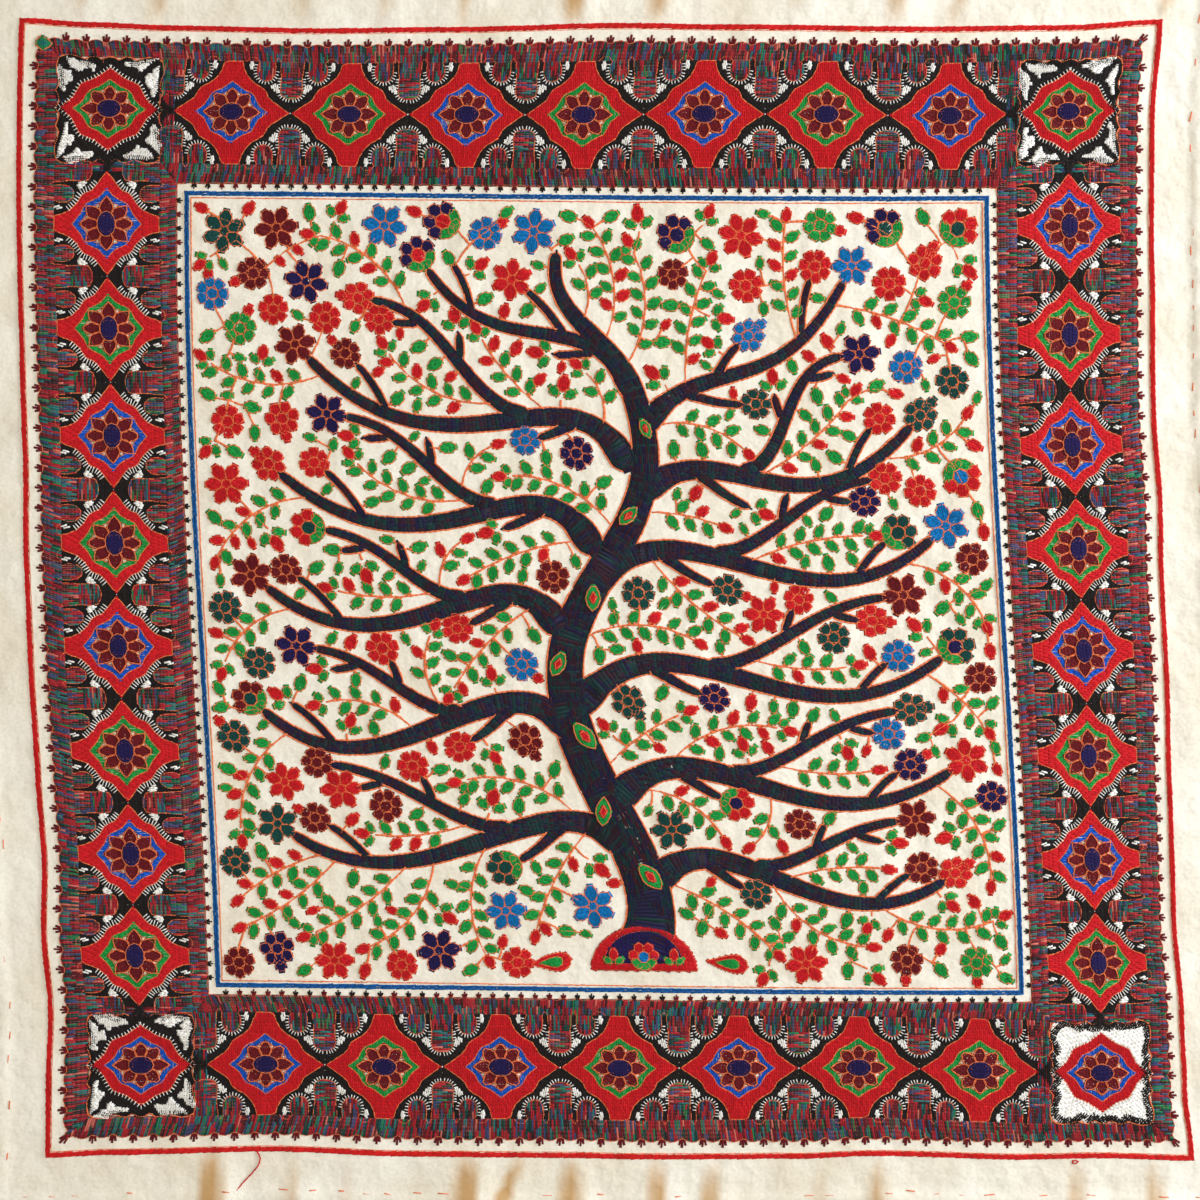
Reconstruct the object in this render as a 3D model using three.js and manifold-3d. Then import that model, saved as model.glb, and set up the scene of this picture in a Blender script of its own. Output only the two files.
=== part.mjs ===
// A square wool panel worked all over in yarn, lying flat with its stitched face up.
// A border of linked medallions runs round a field that holds a branching tree.
// Millimetres, +Z up, the head of the panel towards +Y, the origin in the middle of its underside.
// Everything is laid out on a true square, the plan, and then pulled to the real cloth's uneven outline.

import * as THREE from "three";
import { mergeVertices } from "three/addons/utils/BufferGeometryUtils.js";
import Module from "manifold-3d";

// Cloth
const clothThickness = 1.6;
const lineHalf = 457; // from the middle to the outer stitched line
const margin = 45; // plain cloth outside that line
const hemWidth = 11.5;
const hemRise = 0.9; // the turned-under layer lifts the edge
const hemStep = 1.5;
const sideSteps = 14;

// Needlework, as depths inwards from the outer stitched line
const stitchRise = 0.8;
const lineWidth = 5;
const bandStart = 12;
const bandEnd = 129;
const innerLineDepth = 137.5;
const innerLineWidth = 5.5;
const medallionDepth = 70;
const medallionHalfWidth = 43;
const medallionRise = 0.5;
const tipGap = 1.2; // between the tips of neighbours
const bite = 0.9; // how far a raised form is rooted in the cloth

// Medallions along each side, and how much wider the step next to a corner is than the others
const sides = [
  { name: "head", count: 7, cornerStep: 1.04, turn: 0 },
  { name: "left", count: 8, cornerStep: 1.07, turn: 90 },
  { name: "foot", count: 7, cornerStep: 1.04, turn: 180 },
  { name: "right", count: 8, cornerStep: 1.07, turn: 270 },
];

// A quarter of a medallion's outline, as shares of its half length and half width
const medallionQuarter = [
  { along: 0.16, across: 1 },
  { along: 0.19, across: 0.84 },
  { along: 0.38, across: 0.57 },
  { along: 0.55, across: 0.47 },
  { along: 0.63, across: 0.28 },
  { along: 1, across: 0 },
];
const cornerStar = { points: 8, longRadius: 38, shortRadius: 30 };

// How far the hand-pulled cloth sits off its plan, at four stations each way (foot row first)
const stations = [-457, -320, 320, 457];
const pulls = [
  [{ right: 9.5, up: 2 }, { right: 10, up: 2 }, { right: 13, up: 2 }, { right: 13.5, up: 2 }],
  [{ right: 8.5, up: 3 }, { right: 8.5, up: 2.5 }, { right: 12.5, up: -3.5 }, { right: 13, up: -2 }],
  [{ right: -14, up: -2.5 }, { right: -16.5, up: -3 }, { right: -15.5, up: -7 }, { right: -14, up: -5 }],
  [{ right: -10.5, up: -2 }, { right: -11.5, up: -2 }, { right: -12.5, up: -2 }, { right: -12.5, up: -2 }],
];

// How far the outer line wanders outwards along each side
const waveReach = 160;
const waves = {
  head: [
    { at: -457, out: -0.5 }, { at: -400, out: -4 }, { at: -340, out: -6.4 }, { at: -220, out: -8.8 },
    { at: -100, out: -7.6 }, { at: 20, out: -4.6 }, { at: 140, out: -6 }, { at: 260, out: -7.5 },
    { at: 380, out: -6.4 }, { at: 457, out: -1.6 },
  ],
  foot: [
    { at: -457, out: -2 }, { at: -400, out: -4.4 }, { at: -280, out: -7 }, { at: -160, out: -2.8 },
    { at: -40, out: -1.8 }, { at: 20, out: -0.6 }, { at: 140, out: -1 }, { at: 200, out: -3.4 },
    { at: 320, out: -0.4 }, { at: 380, out: -1.6 }, { at: 457, out: 0.4 },
  ],
  left: [
    { at: -457, out: -0.3 }, { at: -400, out: -0.6 }, { at: -340, out: -3 }, { at: -280, out: 1 },
    { at: -220, out: -1.6 }, { at: -160, out: 0.5 }, { at: -70, out: 2 }, { at: 20, out: 1.4 },
    { at: 110, out: -1.4 }, { at: 200, out: -1.4 }, { at: 320, out: -0.6 }, { at: 457, out: 0.3 },
  ],
  right: [
    { at: -457, out: -3 }, { at: -400, out: -8.8 }, { at: -340, out: -10.8 }, { at: -260, out: -15 },
    { at: -160, out: -14 }, { at: -60, out: -11.4 }, { at: 20, out: -11 }, { at: 80, out: -9 },
    { at: 140, out: -10.8 }, { at: 260, out: -8 }, { at: 380, out: -6.8 }, { at: 457, out: -2.1 },
  ],
};

// How far each side's medallions stray from their even places: rightwards or upwards along the side, and inwards
const strays = {
  head: [
    { at: -387, along: 3, inward: -1 }, { at: -287, along: 2.5, inward: 0.5 }, { at: -192, along: 1.5, inward: 1.5 },
    { at: -96, along: 0, inward: 1.5 }, { at: 0, along: -2.5, inward: 2 }, { at: 96, along: -2, inward: 0.5 },
    { at: 192, along: -0.5, inward: 0.5 }, { at: 287, along: 2, inward: 1.5 }, { at: 387, along: -1.5, inward: -1 },
  ],
  foot: [
    { at: -387, along: 4.5, inward: 2 }, { at: -287, along: 4.5, inward: 2.5 }, { at: -192, along: 3, inward: 2 },
    { at: -96, along: 0, inward: 3 }, { at: 0, along: -1.5, inward: 3 }, { at: 96, along: -2.5, inward: 4 },
    { at: 192, along: -3, inward: 4 }, { at: 287, along: -2.5, inward: 2.5 }, { at: 387, along: -2, inward: 0 },
  ],
  left: [
    { at: -387, along: 2, inward: 4.5 }, { at: -296, along: 0, inward: 2 }, { at: -212, along: -3, inward: 1.5 },
    { at: -127, along: -4.5, inward: 1.5 }, { at: -42, along: -4.5, inward: 1 }, { at: 42, along: -5.5, inward: 2 },
    { at: 127, along: -3.5, inward: 3 }, { at: 212, along: -1.5, inward: 3 }, { at: 296, along: -2, inward: 2 },
    { at: 387, along: 1, inward: 3 },
  ],
  right: [
    { at: -387, along: 0, inward: 2 }, { at: -296, along: 1, inward: 2 }, { at: -212, along: 1, inward: 3.5 },
    { at: -127, along: 1, inward: 2.5 }, { at: -42, along: 1.5, inward: 2 }, { at: 42, along: -1, inward: 2 },
    { at: 127, along: -3, inward: 2.5 }, { at: 212, along: -0.5, inward: 1.5 }, { at: 296, along: 0.5, inward: 0 },
    { at: 387, along: 1, inward: 1.5 },
  ],
};
const strayFade = 14; // over how much cloth a stray grows from either edge of the band
const cornerBlend = 60; // over how much cloth one side's strays give way to the next one's

// Soft folds that run out through the margins: a slow rise on the left and a steeper fall on the right
const foldHeight = 6;
const foldStart = -10; // where a fold begins, measured outwards from the outer line
const headFolds = [
  { at: -400, height: 0.5, left: 24, right: 11, lean: 0 },
  { at: -339, height: 0.55, left: 22, right: 10, lean: 0.1 },
  { at: -218, height: 0.5, left: 26, right: 12, lean: -0.1 },
  { at: -155, height: 0.45, left: 22, right: 12, lean: 0 },
  { at: -97, height: 0.4, left: 16, right: 12, lean: 0.15 },
  { at: -2, height: 1, left: 27, right: 10, lean: 0 },
  { at: 63, height: 0.8, left: 25, right: 11, lean: 0.1 },
  { at: 175, height: 0.4, left: 24, right: 14, lean: 0 },
  { at: 255, height: 0.65, left: 24, right: 10, lean: 0 },
  { at: 295, height: 0.4, left: 16, right: 12, lean: 0.3 },
  { at: 360, height: 0.35, left: 22, right: 14, lean: 0 },
  { at: 468, height: 0.55, left: 20, right: 12, lean: 0.25 },
];
const footFolds = [
  { at: -314, height: 1, left: 24, right: 10, lean: 0 },
  { at: -252, height: 0.4, left: 20, right: 14, lean: 0 },
  { at: -208, height: 0.35, left: 22, right: 14, lean: 0 },
  { at: -109, height: 1, left: 28, right: 9, lean: 0 },
  { at: -72, height: 0.6, left: 16, right: 12, lean: -0.4 },
  { at: -28, height: 0.8, left: 24, right: 10, lean: 0 },
  { at: 38, height: 0.7, left: 22, right: 10, lean: 0.1 },
  { at: 86, height: 0.65, left: 24, right: 12, lean: -0.1 },
  { at: 171, height: 0.4, left: 24, right: 16, lean: 0 },
  { at: 215, height: 0.55, left: 22, right: 12, lean: 0 },
  { at: 375, height: 0.55, left: 24, right: 12, lean: 0 },
  { at: 435, height: 0.55, left: 22, right: 12, lean: 0.1 },
];

// The tree: each limb is one smooth bend, from its root to its end, narrowing all the way.
// Most of them fork once, on their upper side, and the fork ends at its own place.
const limbs = [
  { name: "trunkFoot", from: [20, -286], bends: [[56, -212], [-58, -130]], to: [-24, -30], wide: [36, 27] },
  { name: "trunkMiddle", from: [-24, -30], bends: [[4, 40], [66, 74]], to: [36, 166], wide: [27, 18] },
  { name: "trunkHead", from: [36, 166], bends: [[22, 212], [-34, 224]], to: [-22, 276], wide: [18, 8] },
  { name: "leftFirst", from: [12, -206], bends: [[-48, -128], [-150, -272]], to: [-256, -196], wide: [19, 7] },
  { name: "leftSecond", from: [-24, -112], bends: [[-86, -26], [-176, -190]], to: [-274, -96], wide: [20, 7] },
  { name: "leftThird", from: [-30, -30], bends: [[-74, 62], [-160, -86]], to: [-266, 4], wide: [19, 7] },
  { name: "leftFourth", from: [0, 36], bends: [[-44, 138], [-130, -10]], to: [-250, 96], wide: [18, 7] },
  { name: "leftFifth", from: [30, 104], bends: [[-10, 206], [-116, 70]], to: [-224, 190], wide: [17, 7] },
  { name: "leftCrown", from: [36, 160], bends: [[10, 246], [-70, 176]], to: [-126, 262], wide: [13, 6] },
  { name: "rightFirst", from: [28, -236], bends: [[86, -156], [164, -296]], to: [262, -226], wide: [19, 7] },
  { name: "rightSecond", from: [2, -168], bends: [[72, -76], [150, -222]], to: [272, -136], wide: [20, 7] },
  { name: "rightThird", from: [-24, -92], bends: [[60, 18], [150, -140]], to: [270, -44], wide: [19, 7] },
  { name: "rightFourth", from: [-8, 4], bends: [[70, 104], [160, -46]], to: [268, 52], wide: [18, 7] },
  { name: "rightFifth", from: [36, 82], bends: [[104, 150], [160, 34]], to: [256, 142], wide: [17, 7] },
  { name: "rightCrown", from: [42, 134], bends: [[84, 204], [150, 150]], to: [206, 256], wide: [14, 6] },
];
const limbSteps = 9;
const forks = {
  leftFirst: [-222, -140], leftSecond: [-230, -46], leftThird: [-216, 50], leftFourth: [-196, 142],
  leftFifth: [-172, 236], rightFirst: [228, -178], rightSecond: [232, -88], rightThird: [228, 4],
  rightFourth: [222, 98], rightFifth: [204, 196],
};
const forkWide = [11, 6];
const forkSteps = 6;
const twigs = [{ share: 0.24, upper: false }, { share: 0.4, upper: true }, { share: 0.8, upper: true }];
const forkShare = 0.4; // where a fork stands in for the twig
const twigAngle = 50;
const twigLength = 44;
const twigEndWidth = 5;
const twigSteps = 2;
const mound = { x: 20, foot: -303, halfWidth: 42, height: 36, steps: 10 }; // what the trunk stands on

const wasm = await Module();
wasm.setup();

const smooth = (share) => {
  const t = Math.min(1, Math.max(0, share));
  return t * t * (3 - 2 * t);
};

// A table's column at a place, easing from one row to the next
function readTable(rows, place, column) {
  for (let i = 1; i < rows.length; i++) {
    if (place <= rows[i].at) {
      const share = (place - rows[i - 1].at) / (rows[i].at - rows[i - 1].at);
      return rows[i - 1][column] + (rows[i][column] - rows[i - 1][column]) * smooth(share);
    }
  }
  return rows[rows.length - 1][column];
}

// The four weights of a cubic through the stations
function stationWeights(place) {
  return stations.map((own) =>
    stations.reduce((weight, other) => (other === own ? weight : weight * (place - other) / (own - other)), 1),
  );
}

// How far the needlework strays at a point: each side's own strays, blended across the corners' diagonals
function stray(x, y) {
  const depth = lineHalf - Math.max(Math.abs(x), Math.abs(y));
  const hold = smooth((depth - bandStart) / strayFade) * smooth((bandEnd - depth) / strayFade);
  const upright = smooth(0.5 + (Math.abs(y) - Math.abs(x)) / cornerBlend); // 1 in the head and foot bands
  const level = y > 0 ? strays.head : strays.foot;
  const flank = x > 0 ? strays.right : strays.left;
  const right = upright * readTable(level, x, "along") - (1 - upright) * Math.sign(x) * readTable(flank, y, "inward");
  const up = (1 - upright) * readTable(flank, y, "along") - upright * Math.sign(y) * readTable(level, x, "inward");
  return { right: hold * right, up: hold * up };
}

// A point of the plan, pulled to where it lies on the real cloth
function onCloth(x, y) {
  const across = stationWeights(x);
  const upward = stationWeights(y);
  let { right, up } = stray(x, y);
  pulls.forEach((row, j) =>
    row.forEach((pull, i) => {
      right += pull.right * across[i] * upward[j];
      up += pull.up * across[i] * upward[j];
    }),
  );
  const hold = (out) => (1 - Math.min(1, Math.max(0, (lineHalf - out) / waveReach))) ** 2;
  up += readTable(waves.head, x, "out") * hold(y) - readTable(waves.foot, x, "out") * hold(-y);
  right += readTable(waves.right, y, "out") * hold(x) - readTable(waves.left, y, "out") * hold(-x);
  return new THREE.Vector2(x + right, y + up);
}

// How high the cloth is lifted by the folds at a point of the plan
function lift(x, y) {
  const out = Math.abs(y) - lineHalf;
  const grow = smooth((out - foldStart) / (margin - foldStart));
  if (grow === 0) return 0;
  const folds = y > 0 ? headFolds : footFolds;
  const heights = folds.map((fold) => {
    const away = x - fold.at - fold.lean * out;
    const share = away < 0 ? -away / fold.left : away / fold.right;
    return fold.height * (1 - smooth(share));
  });
  return foldHeight * grow * Math.max(...heights);
}

// A closed mesh as a solid that can be joined
function solidOf(geometry) {
  const bare = geometry.clone();
  bare.deleteAttribute("normal");
  bare.deleteAttribute("uv");
  const merged = mergeVertices(bare, 1e-4);
  return new wasm.Manifold(
    new wasm.Mesh({
      numProp: 3,
      vertProperties: merged.attributes.position.array,
      triVerts: new Uint32Array(merged.index.array),
    }),
  );
}

// The plan of the sheet as triangles: fine grids along the folded margins, one plain middle
function makePlan() {
  const edge = lineHalf + margin;
  const hemInner = edge - hemWidth;
  const outward = [-12, 0, 11, 22].map((out) => lineHalf + out);
  const stripRows = [...outward, hemInner - hemStep, hemInner, edge];
  const strip = stripRows[0];
  const sideColumns = [lineHalf + 16, hemInner - hemStep, hemInner, edge];
  const inner = sideColumns[0];
  const sideRows = Array.from({ length: sideSteps + 1 }, (_, i) => strip * ((2 * i) / sideSteps - 1));
  const points = [];
  const triangles = [];
  const known = new Map();
  const pointAt = (x, y) => {
    const key = `${x.toFixed(3)} ${y.toFixed(3)}`;
    if (!known.has(key)) known.set(key, points.push([x, y]) - 1);
    return known.get(key);
  };
  const addGrid = (columns, rows) => {
    for (let j = 0; j + 1 < rows.length; j++) {
      for (let i = 0; i + 1 < columns.length; i++) {
        const [a, b] = [pointAt(columns[i], rows[j]), pointAt(columns[i + 1], rows[j])];
        const [c, d] = [pointAt(columns[i + 1], rows[j + 1]), pointAt(columns[i], rows[j + 1])];
        triangles.push([a, b, c], [a, c, d]);
      }
    }
  };
  const foldColumns = (folds) => {
    const crests = folds.flatMap((fold) => [
      fold.at - fold.left, fold.at - fold.left / 2, fold.at, fold.at + fold.right,
    ]).sort((a, b) => a - b);
    const inside = crests.filter((x, i) => Math.abs(x) < inner - 2 && (i === 0 || x - crests[i - 1] > 3));
    return [...sideColumns.map((x) => -x).reverse(), ...inside, ...sideColumns];
  };
  const headColumns = foldColumns(headFolds);
  const footColumns = foldColumns(footFolds);
  addGrid(headColumns, stripRows);
  addGrid(footColumns, stripRows.map((y) => -y).reverse());
  addGrid(sideColumns, sideRows);
  addGrid(sideColumns.map((x) => -x).reverse(), sideRows);
  const middle = [
    ...footColumns.filter((x) => x > -inner && x < inner).map((x) => pointAt(x, -strip)),
    ...sideRows.map((y) => pointAt(inner, y)),
    ...headColumns.filter((x) => x > -inner && x < inner).reverse().map((x) => pointAt(x, strip)),
    ...[...sideRows].reverse().map((y) => pointAt(-inner, y)),
  ];
  const outline = middle.map((k) => onCloth(...points[k]));
  THREE.ShapeUtils.triangulateShape(outline, []).forEach((corners) => triangles.push(corners.map((k) => middle[k])));
  return { points, triangles };
}

// The cloth: the plan once as its underside and once as its top, with a wall round the edge
function makeSheet() {
  const { points, triangles } = makePlan();
  const hemInner = lineHalf + margin - hemWidth;
  const layer = points.length;
  const places = [];
  for (const level of [0, 1]) {
    for (const [x, y] of points) {
      const place = onCloth(x, y);
      const inHem = Math.max(Math.abs(x), Math.abs(y)) >= hemInner - 1e-6;
      places.push(place.x, place.y, lift(x, y) + level * (clothThickness + (inHem ? hemRise : 0)));
    }
  }
  const faces = [];
  const open = new Map(); // edges that only one triangle has, so far
  for (const [a, b, c] of triangles) {
    faces.push(a, c, b, layer + a, layer + b, layer + c);
    for (const [from, to] of [[a, b], [b, c], [c, a]]) {
      if (!open.delete(`${to} ${from}`)) open.set(`${from} ${to}`, [from, to]);
    }
  }
  for (const [a, b] of open.values()) faces.push(a, b, layer + b, a, layer + b, layer + a);
  const sheet = new THREE.BufferGeometry();
  sheet.setAttribute("position", new THREE.Float32BufferAttribute(places, 3));
  sheet.setIndex(faces);
  return solidOf(sheet);
}

// A flat-topped form raised on the cloth, from its outline on the plan
function raise(outline, rise, holes = []) {
  const shape = new THREE.Shape(outline.map(([x, y]) => onCloth(x, y)));
  shape.holes = holes.map((hole) => new THREE.Path(hole.map(([x, y]) => onCloth(x, y))));
  const form = new THREE.ExtrudeGeometry(shape, { depth: bite + rise, bevelEnabled: false });
  form.translate(0, 0, clothThickness - bite);
  return solidOf(form);
}

// A square outline on the plan, its long sides cut into short steps so that they can wander
function squareOutline(half, steps = 10) {
  const corners = [[-half, -half], [half, -half], [half, half], [-half, half]];
  return corners.flatMap(([x, y], k) => {
    const [nextX, nextY] = corners[(k + 1) % corners.length];
    return Array.from({ length: steps }, (_, i) => [x + ((nextX - x) * i) / steps, y + ((nextY - y) * i) / steps]);
  });
}

const frameOf = (depth, width, rise) =>
  raise(squareOutline(lineHalf - depth + width / 2), rise, [squareOutline(lineHalf - depth - width / 2)]);

function makeLines() {
  const bandMiddle = (bandStart + bandEnd) / 2;
  return [
    frameOf(0, lineWidth, stitchRise),
    frameOf(bandMiddle, bandEnd - bandStart, stitchRise),
    frameOf(innerLineDepth + innerLineWidth / 4, innerLineWidth, stitchRise),
  ];
}

const turned = ([x, y], degrees) => {
  const angle = THREE.MathUtils.degToRad(degrees);
  return [x * Math.cos(angle) - y * Math.sin(angle), x * Math.sin(angle) + y * Math.cos(angle)];
};

// A medallion round its own middle: the quarter outline, mirrored both ways
function medallionOutline(halfLength) {
  const quarter = medallionQuarter.map(({ along, across }) => [along * halfLength, across * medallionHalfWidth]);
  const half = [...quarter, ...quarter.slice(0, -1).reverse().map(([x, y]) => [x, -y])];
  return [...half, ...half.map(([x, y]) => [-x, -y])].reverse();
}

function makeMedallions() {
  const run = lineHalf - medallionDepth; // from the middle to the medallions' own line
  const rise = stitchRise + medallionRise;
  const pads = [];
  for (const side of sides) {
    const step = (2 * run) / (side.count - 1 + 2 * side.cornerStep);
    for (let i = 0; i < side.count; i++) {
      const along = (i - (side.count - 1) / 2) * step;
      const outline = medallionOutline(step / 2 - tipGap / 2);
      pads.push(raise(outline.map(([x, y]) => turned([x + along, y + run], side.turn)), rise));
    }
    const star = Array.from({ length: 2 * cornerStar.points }, (_, k) => {
      const radius = k % 2 ? cornerStar.shortRadius : cornerStar.longRadius;
      return turned([radius, 0], (180 * k) / cornerStar.points);
    });
    pads.push(raise(star.map(([x, y]) => turned([x - run, y + run], side.turn)), rise));
  }
  return pads;
}

// A ribbon round a line of points, with a width at each of them
function ribbon(points, widths) {
  const flanks = points.map((point, i) => {
    const ahead = points[Math.min(i + 1, points.length - 1)];
    const behind = points[Math.max(i - 1, 0)];
    const normal = new THREE.Vector2(behind.y - ahead.y, ahead.x - behind.x).normalize();
    return { point, reach: normal.multiplyScalar(widths[i] / 2) };
  });
  const right = flanks.map(({ point, reach }) => [point.x - reach.x, point.y - reach.y]);
  const left = flanks.map(({ point, reach }) => [point.x + reach.x, point.y + reach.y]);
  return [...right, ...left.reverse()];
}

// A twig leaves its limb at an angle and bends back towards the way the limb runs
function twigOf(curve, share, side, index) {
  const root = curve.getPoint(share);
  const ahead = curve.getTangent(share);
  const heading = ahead.clone().rotateAround(new THREE.Vector2(), side * THREE.MathUtils.degToRad(twigAngle));
  const length = twigLength + 8 * Math.sin(2.3 * index);
  const bend = root.clone().addScaledVector(heading, 0.55 * length);
  const tip = bend.clone().addScaledVector(heading.add(ahead).normalize(), 0.45 * length);
  return new THREE.QuadraticBezierCurve(root, bend, tip);
}

// A fork leaves with its limb, lifts away from it, and runs out level to its own end
function forkOf(curve, share, [x, y]) {
  const root = curve.getPoint(share);
  const to = new THREE.Vector2(x, y);
  const far = to.distanceTo(root);
  const leaving = curve.getTangent(share).add(new THREE.Vector2(0, 0.35));
  const outward = new THREE.Vector2(Math.sign(x), 0.12);
  const bendA = root.clone().addScaledVector(leaving, 0.38 * far);
  const bendB = to.clone().addScaledVector(outward, -0.42 * far);
  return new THREE.CubicBezierCurve(root, bendA, bendB, to);
}

function makeTree() {
  const forms = [];
  const taper = (from, to, steps) => Array.from({ length: steps + 1 }, (_, i) => from + ((to - from) * i) / steps);
  const addRibbon = (curve, [rootWidth, endWidth], steps) =>
    forms.push(raise(ribbon(curve.getPoints(steps), taper(rootWidth, endWidth, steps)), stitchRise));
  limbs.forEach((limb, index) => {
    const [from, bendA, bendB, to] = [limb.from, ...limb.bends, limb.to].map(([x, y]) => new THREE.Vector2(x, y));
    const curve = new THREE.CubicBezierCurve(from, bendA, bendB, to);
    addRibbon(curve, limb.wide, limbSteps);
    if (limb.name.startsWith("trunk")) return;
    twigs.forEach(({ share, upper }, k) => {
      if (share === forkShare && forks[limb.name]) {
        addRibbon(forkOf(curve, share, forks[limb.name]), forkWide, forkSteps);
        return;
      }
      const side = Math.sign(limb.to[0]) * (upper ? 1 : -1);
      const width = 0.6 * (limb.wide[0] + (limb.wide[1] - limb.wide[0]) * share);
      addRibbon(twigOf(curve, share, side, index * twigs.length + k), [width, twigEndWidth], twigSteps);
    });
  });
  const arc = Array.from({ length: mound.steps + 1 }, (_, i) => (Math.PI * i) / mound.steps);
  const top = arc.map((t) => [mound.x + mound.halfWidth * Math.cos(t), mound.foot + mound.height * Math.sin(t)]);
  forms.push(raise(top, stitchRise));
  return forms;
}

// All of it joined into the one cloth, with the origin in the middle of its underside
function makePanel() {
  const whole = wasm.Manifold.union([makeSheet(), ...makeLines(), ...makeMedallions(), ...makeTree()]);
  const { numProp, vertProperties, triVerts } = whole.getMesh();
  const geometry = new THREE.BufferGeometry();
  geometry.setAttribute("position", new THREE.BufferAttribute(vertProperties, numProp));
  geometry.setIndex(new THREE.BufferAttribute(triVerts, 1));
  geometry.computeBoundingBox();
  const middle = geometry.boundingBox.getCenter(new THREE.Vector3());
  geometry.translate(-middle.x, -middle.y, 0);
  geometry.computeVertexNormals();
  return geometry;
}

const wool = new THREE.MeshStandardMaterial({ color: 0xede3cc, roughness: 0.95, metalness: 0 });
const panel = new THREE.Mesh(makePanel(), wool);
panel.name = "embroidered_panel";

const part = new THREE.Group();
part.add(panel);

export default part;
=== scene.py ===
import math

import bpy
import numpy as np
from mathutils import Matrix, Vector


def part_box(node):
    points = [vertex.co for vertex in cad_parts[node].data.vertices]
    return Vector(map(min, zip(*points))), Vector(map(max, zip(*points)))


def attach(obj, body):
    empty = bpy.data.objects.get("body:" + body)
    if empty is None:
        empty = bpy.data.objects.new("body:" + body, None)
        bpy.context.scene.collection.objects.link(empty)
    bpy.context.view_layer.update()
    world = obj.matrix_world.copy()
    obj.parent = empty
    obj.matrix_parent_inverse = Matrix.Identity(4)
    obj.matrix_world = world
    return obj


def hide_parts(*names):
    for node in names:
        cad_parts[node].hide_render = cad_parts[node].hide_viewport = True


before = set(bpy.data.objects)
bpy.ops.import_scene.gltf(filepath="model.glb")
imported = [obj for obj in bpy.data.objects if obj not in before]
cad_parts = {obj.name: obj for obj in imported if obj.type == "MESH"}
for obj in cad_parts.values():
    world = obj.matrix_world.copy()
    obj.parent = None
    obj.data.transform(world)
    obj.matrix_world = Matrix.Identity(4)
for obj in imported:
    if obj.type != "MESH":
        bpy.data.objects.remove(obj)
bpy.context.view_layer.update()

# A square wool panel stitched all over in yarn and laid flat, seen from straight above.
# It is laid out on a true square, the plan, in millimetres, and then pulled to the real cloth's outline.
# Every stitch is a small closed mesh, and the cloth under them is one thin sheet.

mm = 0.001

plan = {
    "lineHalf": 457.0,       # middle to the outer stitched line
    "margin": 45.0,          # bare cloth outside that line
    "bandStart": 12.5,       # depths inwards from the outer line
    "bandEnd": 129.0,
    "innerLine": 137.5,
    "medallionRow": 70.0,
    "stations": (-457.0, -320.0, 320.0, 457.0),
    "pulls": (               # (right, up) at each crossing of the stations, the foot row first
        ((9.5, 2), (10, 2), (13, 2), (13.5, 2)),
        ((8.5, 3), (8.5, 2.5), (12.5, -3.5), (13, -2)),
        ((-14, -2.5), (-16.5, -3), (-15.5, -7), (-14, -5)),
        ((-10.5, -2), (-11.5, -2), (-12.5, -2), (-12.5, -2)),
    ),
    "waveReach": 160.0,      # how deep the outer line's wander is felt
    "head": ((-457, -.5), (-400, -4), (-340, -6.4), (-220, -8.8), (-100, -7.6), (20, -4.6), (140, -6),
             (260, -7.5), (380, -6.4), (457, -1.6)),
    "foot": ((-457, -2), (-400, -4.4), (-280, -7), (-160, -2.8), (-40, -1.8), (20, -.6), (140, -1),
             (200, -3.4), (320, -.4), (380, -1.6), (457, .4)),
    "left": ((-457, -.3), (-400, -.6), (-340, -3), (-280, 1), (-220, -1.6), (-160, .5), (-70, 2),
             (20, 1.4), (110, -1.4), (200, -1.4), (320, -.6), (457, .3)),
    "right": ((-457, -3), (-400, -8.8), (-340, -10.8), (-260, -15), (-160, -14), (-60, -11.4), (20, -11),
              (80, -9), (140, -10.8), (260, -8), (380, -6.8), (457, -2.1)),
    # (at, along, inwards): how far each side's medallions stray from their even places
    "headStrays": ((-387, 3, -1), (-287, 2.5, .5), (-192, 1.5, 1.5), (-96, 0, 1.5), (0, -2.5, 2),
                   (96, -2, .5), (192, -.5, .5), (287, 2, 1.5), (387, -1.5, -1)),
    "footStrays": ((-387, 4.5, 2), (-287, 4.5, 2.5), (-192, 3, 2), (-96, 0, 3), (0, -1.5, 3), (96, -2.5, 4),
                   (192, -3, 4), (287, -2.5, 2.5), (387, -2, 0)),
    "leftStrays": ((-387, 2, 4.5), (-296, 0, 2), (-212, -3, 1.5), (-127, -4.5, 1.5), (-42, -4.5, 1),
                   (42, -5.5, 2), (127, -3.5, 3), (212, -1.5, 3), (296, -2, 2), (387, 1, 3)),
    "rightStrays": ((-387, 0, 2), (-296, 1, 2), (-212, 1, 3.5), (-127, 1, 2.5), (-42, 1.5, 2), (42, -1, 2),
                    (127, -3, 2.5), (212, -.5, 1.5), (296, .5, 0), (387, 1, 1.5)),
    "strayFade": 14.0,       # over how much cloth a stray grows from either edge of the band
    "cornerBlend": 60.0,     # over how much cloth one side's strays give way to the next one's
}

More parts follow.
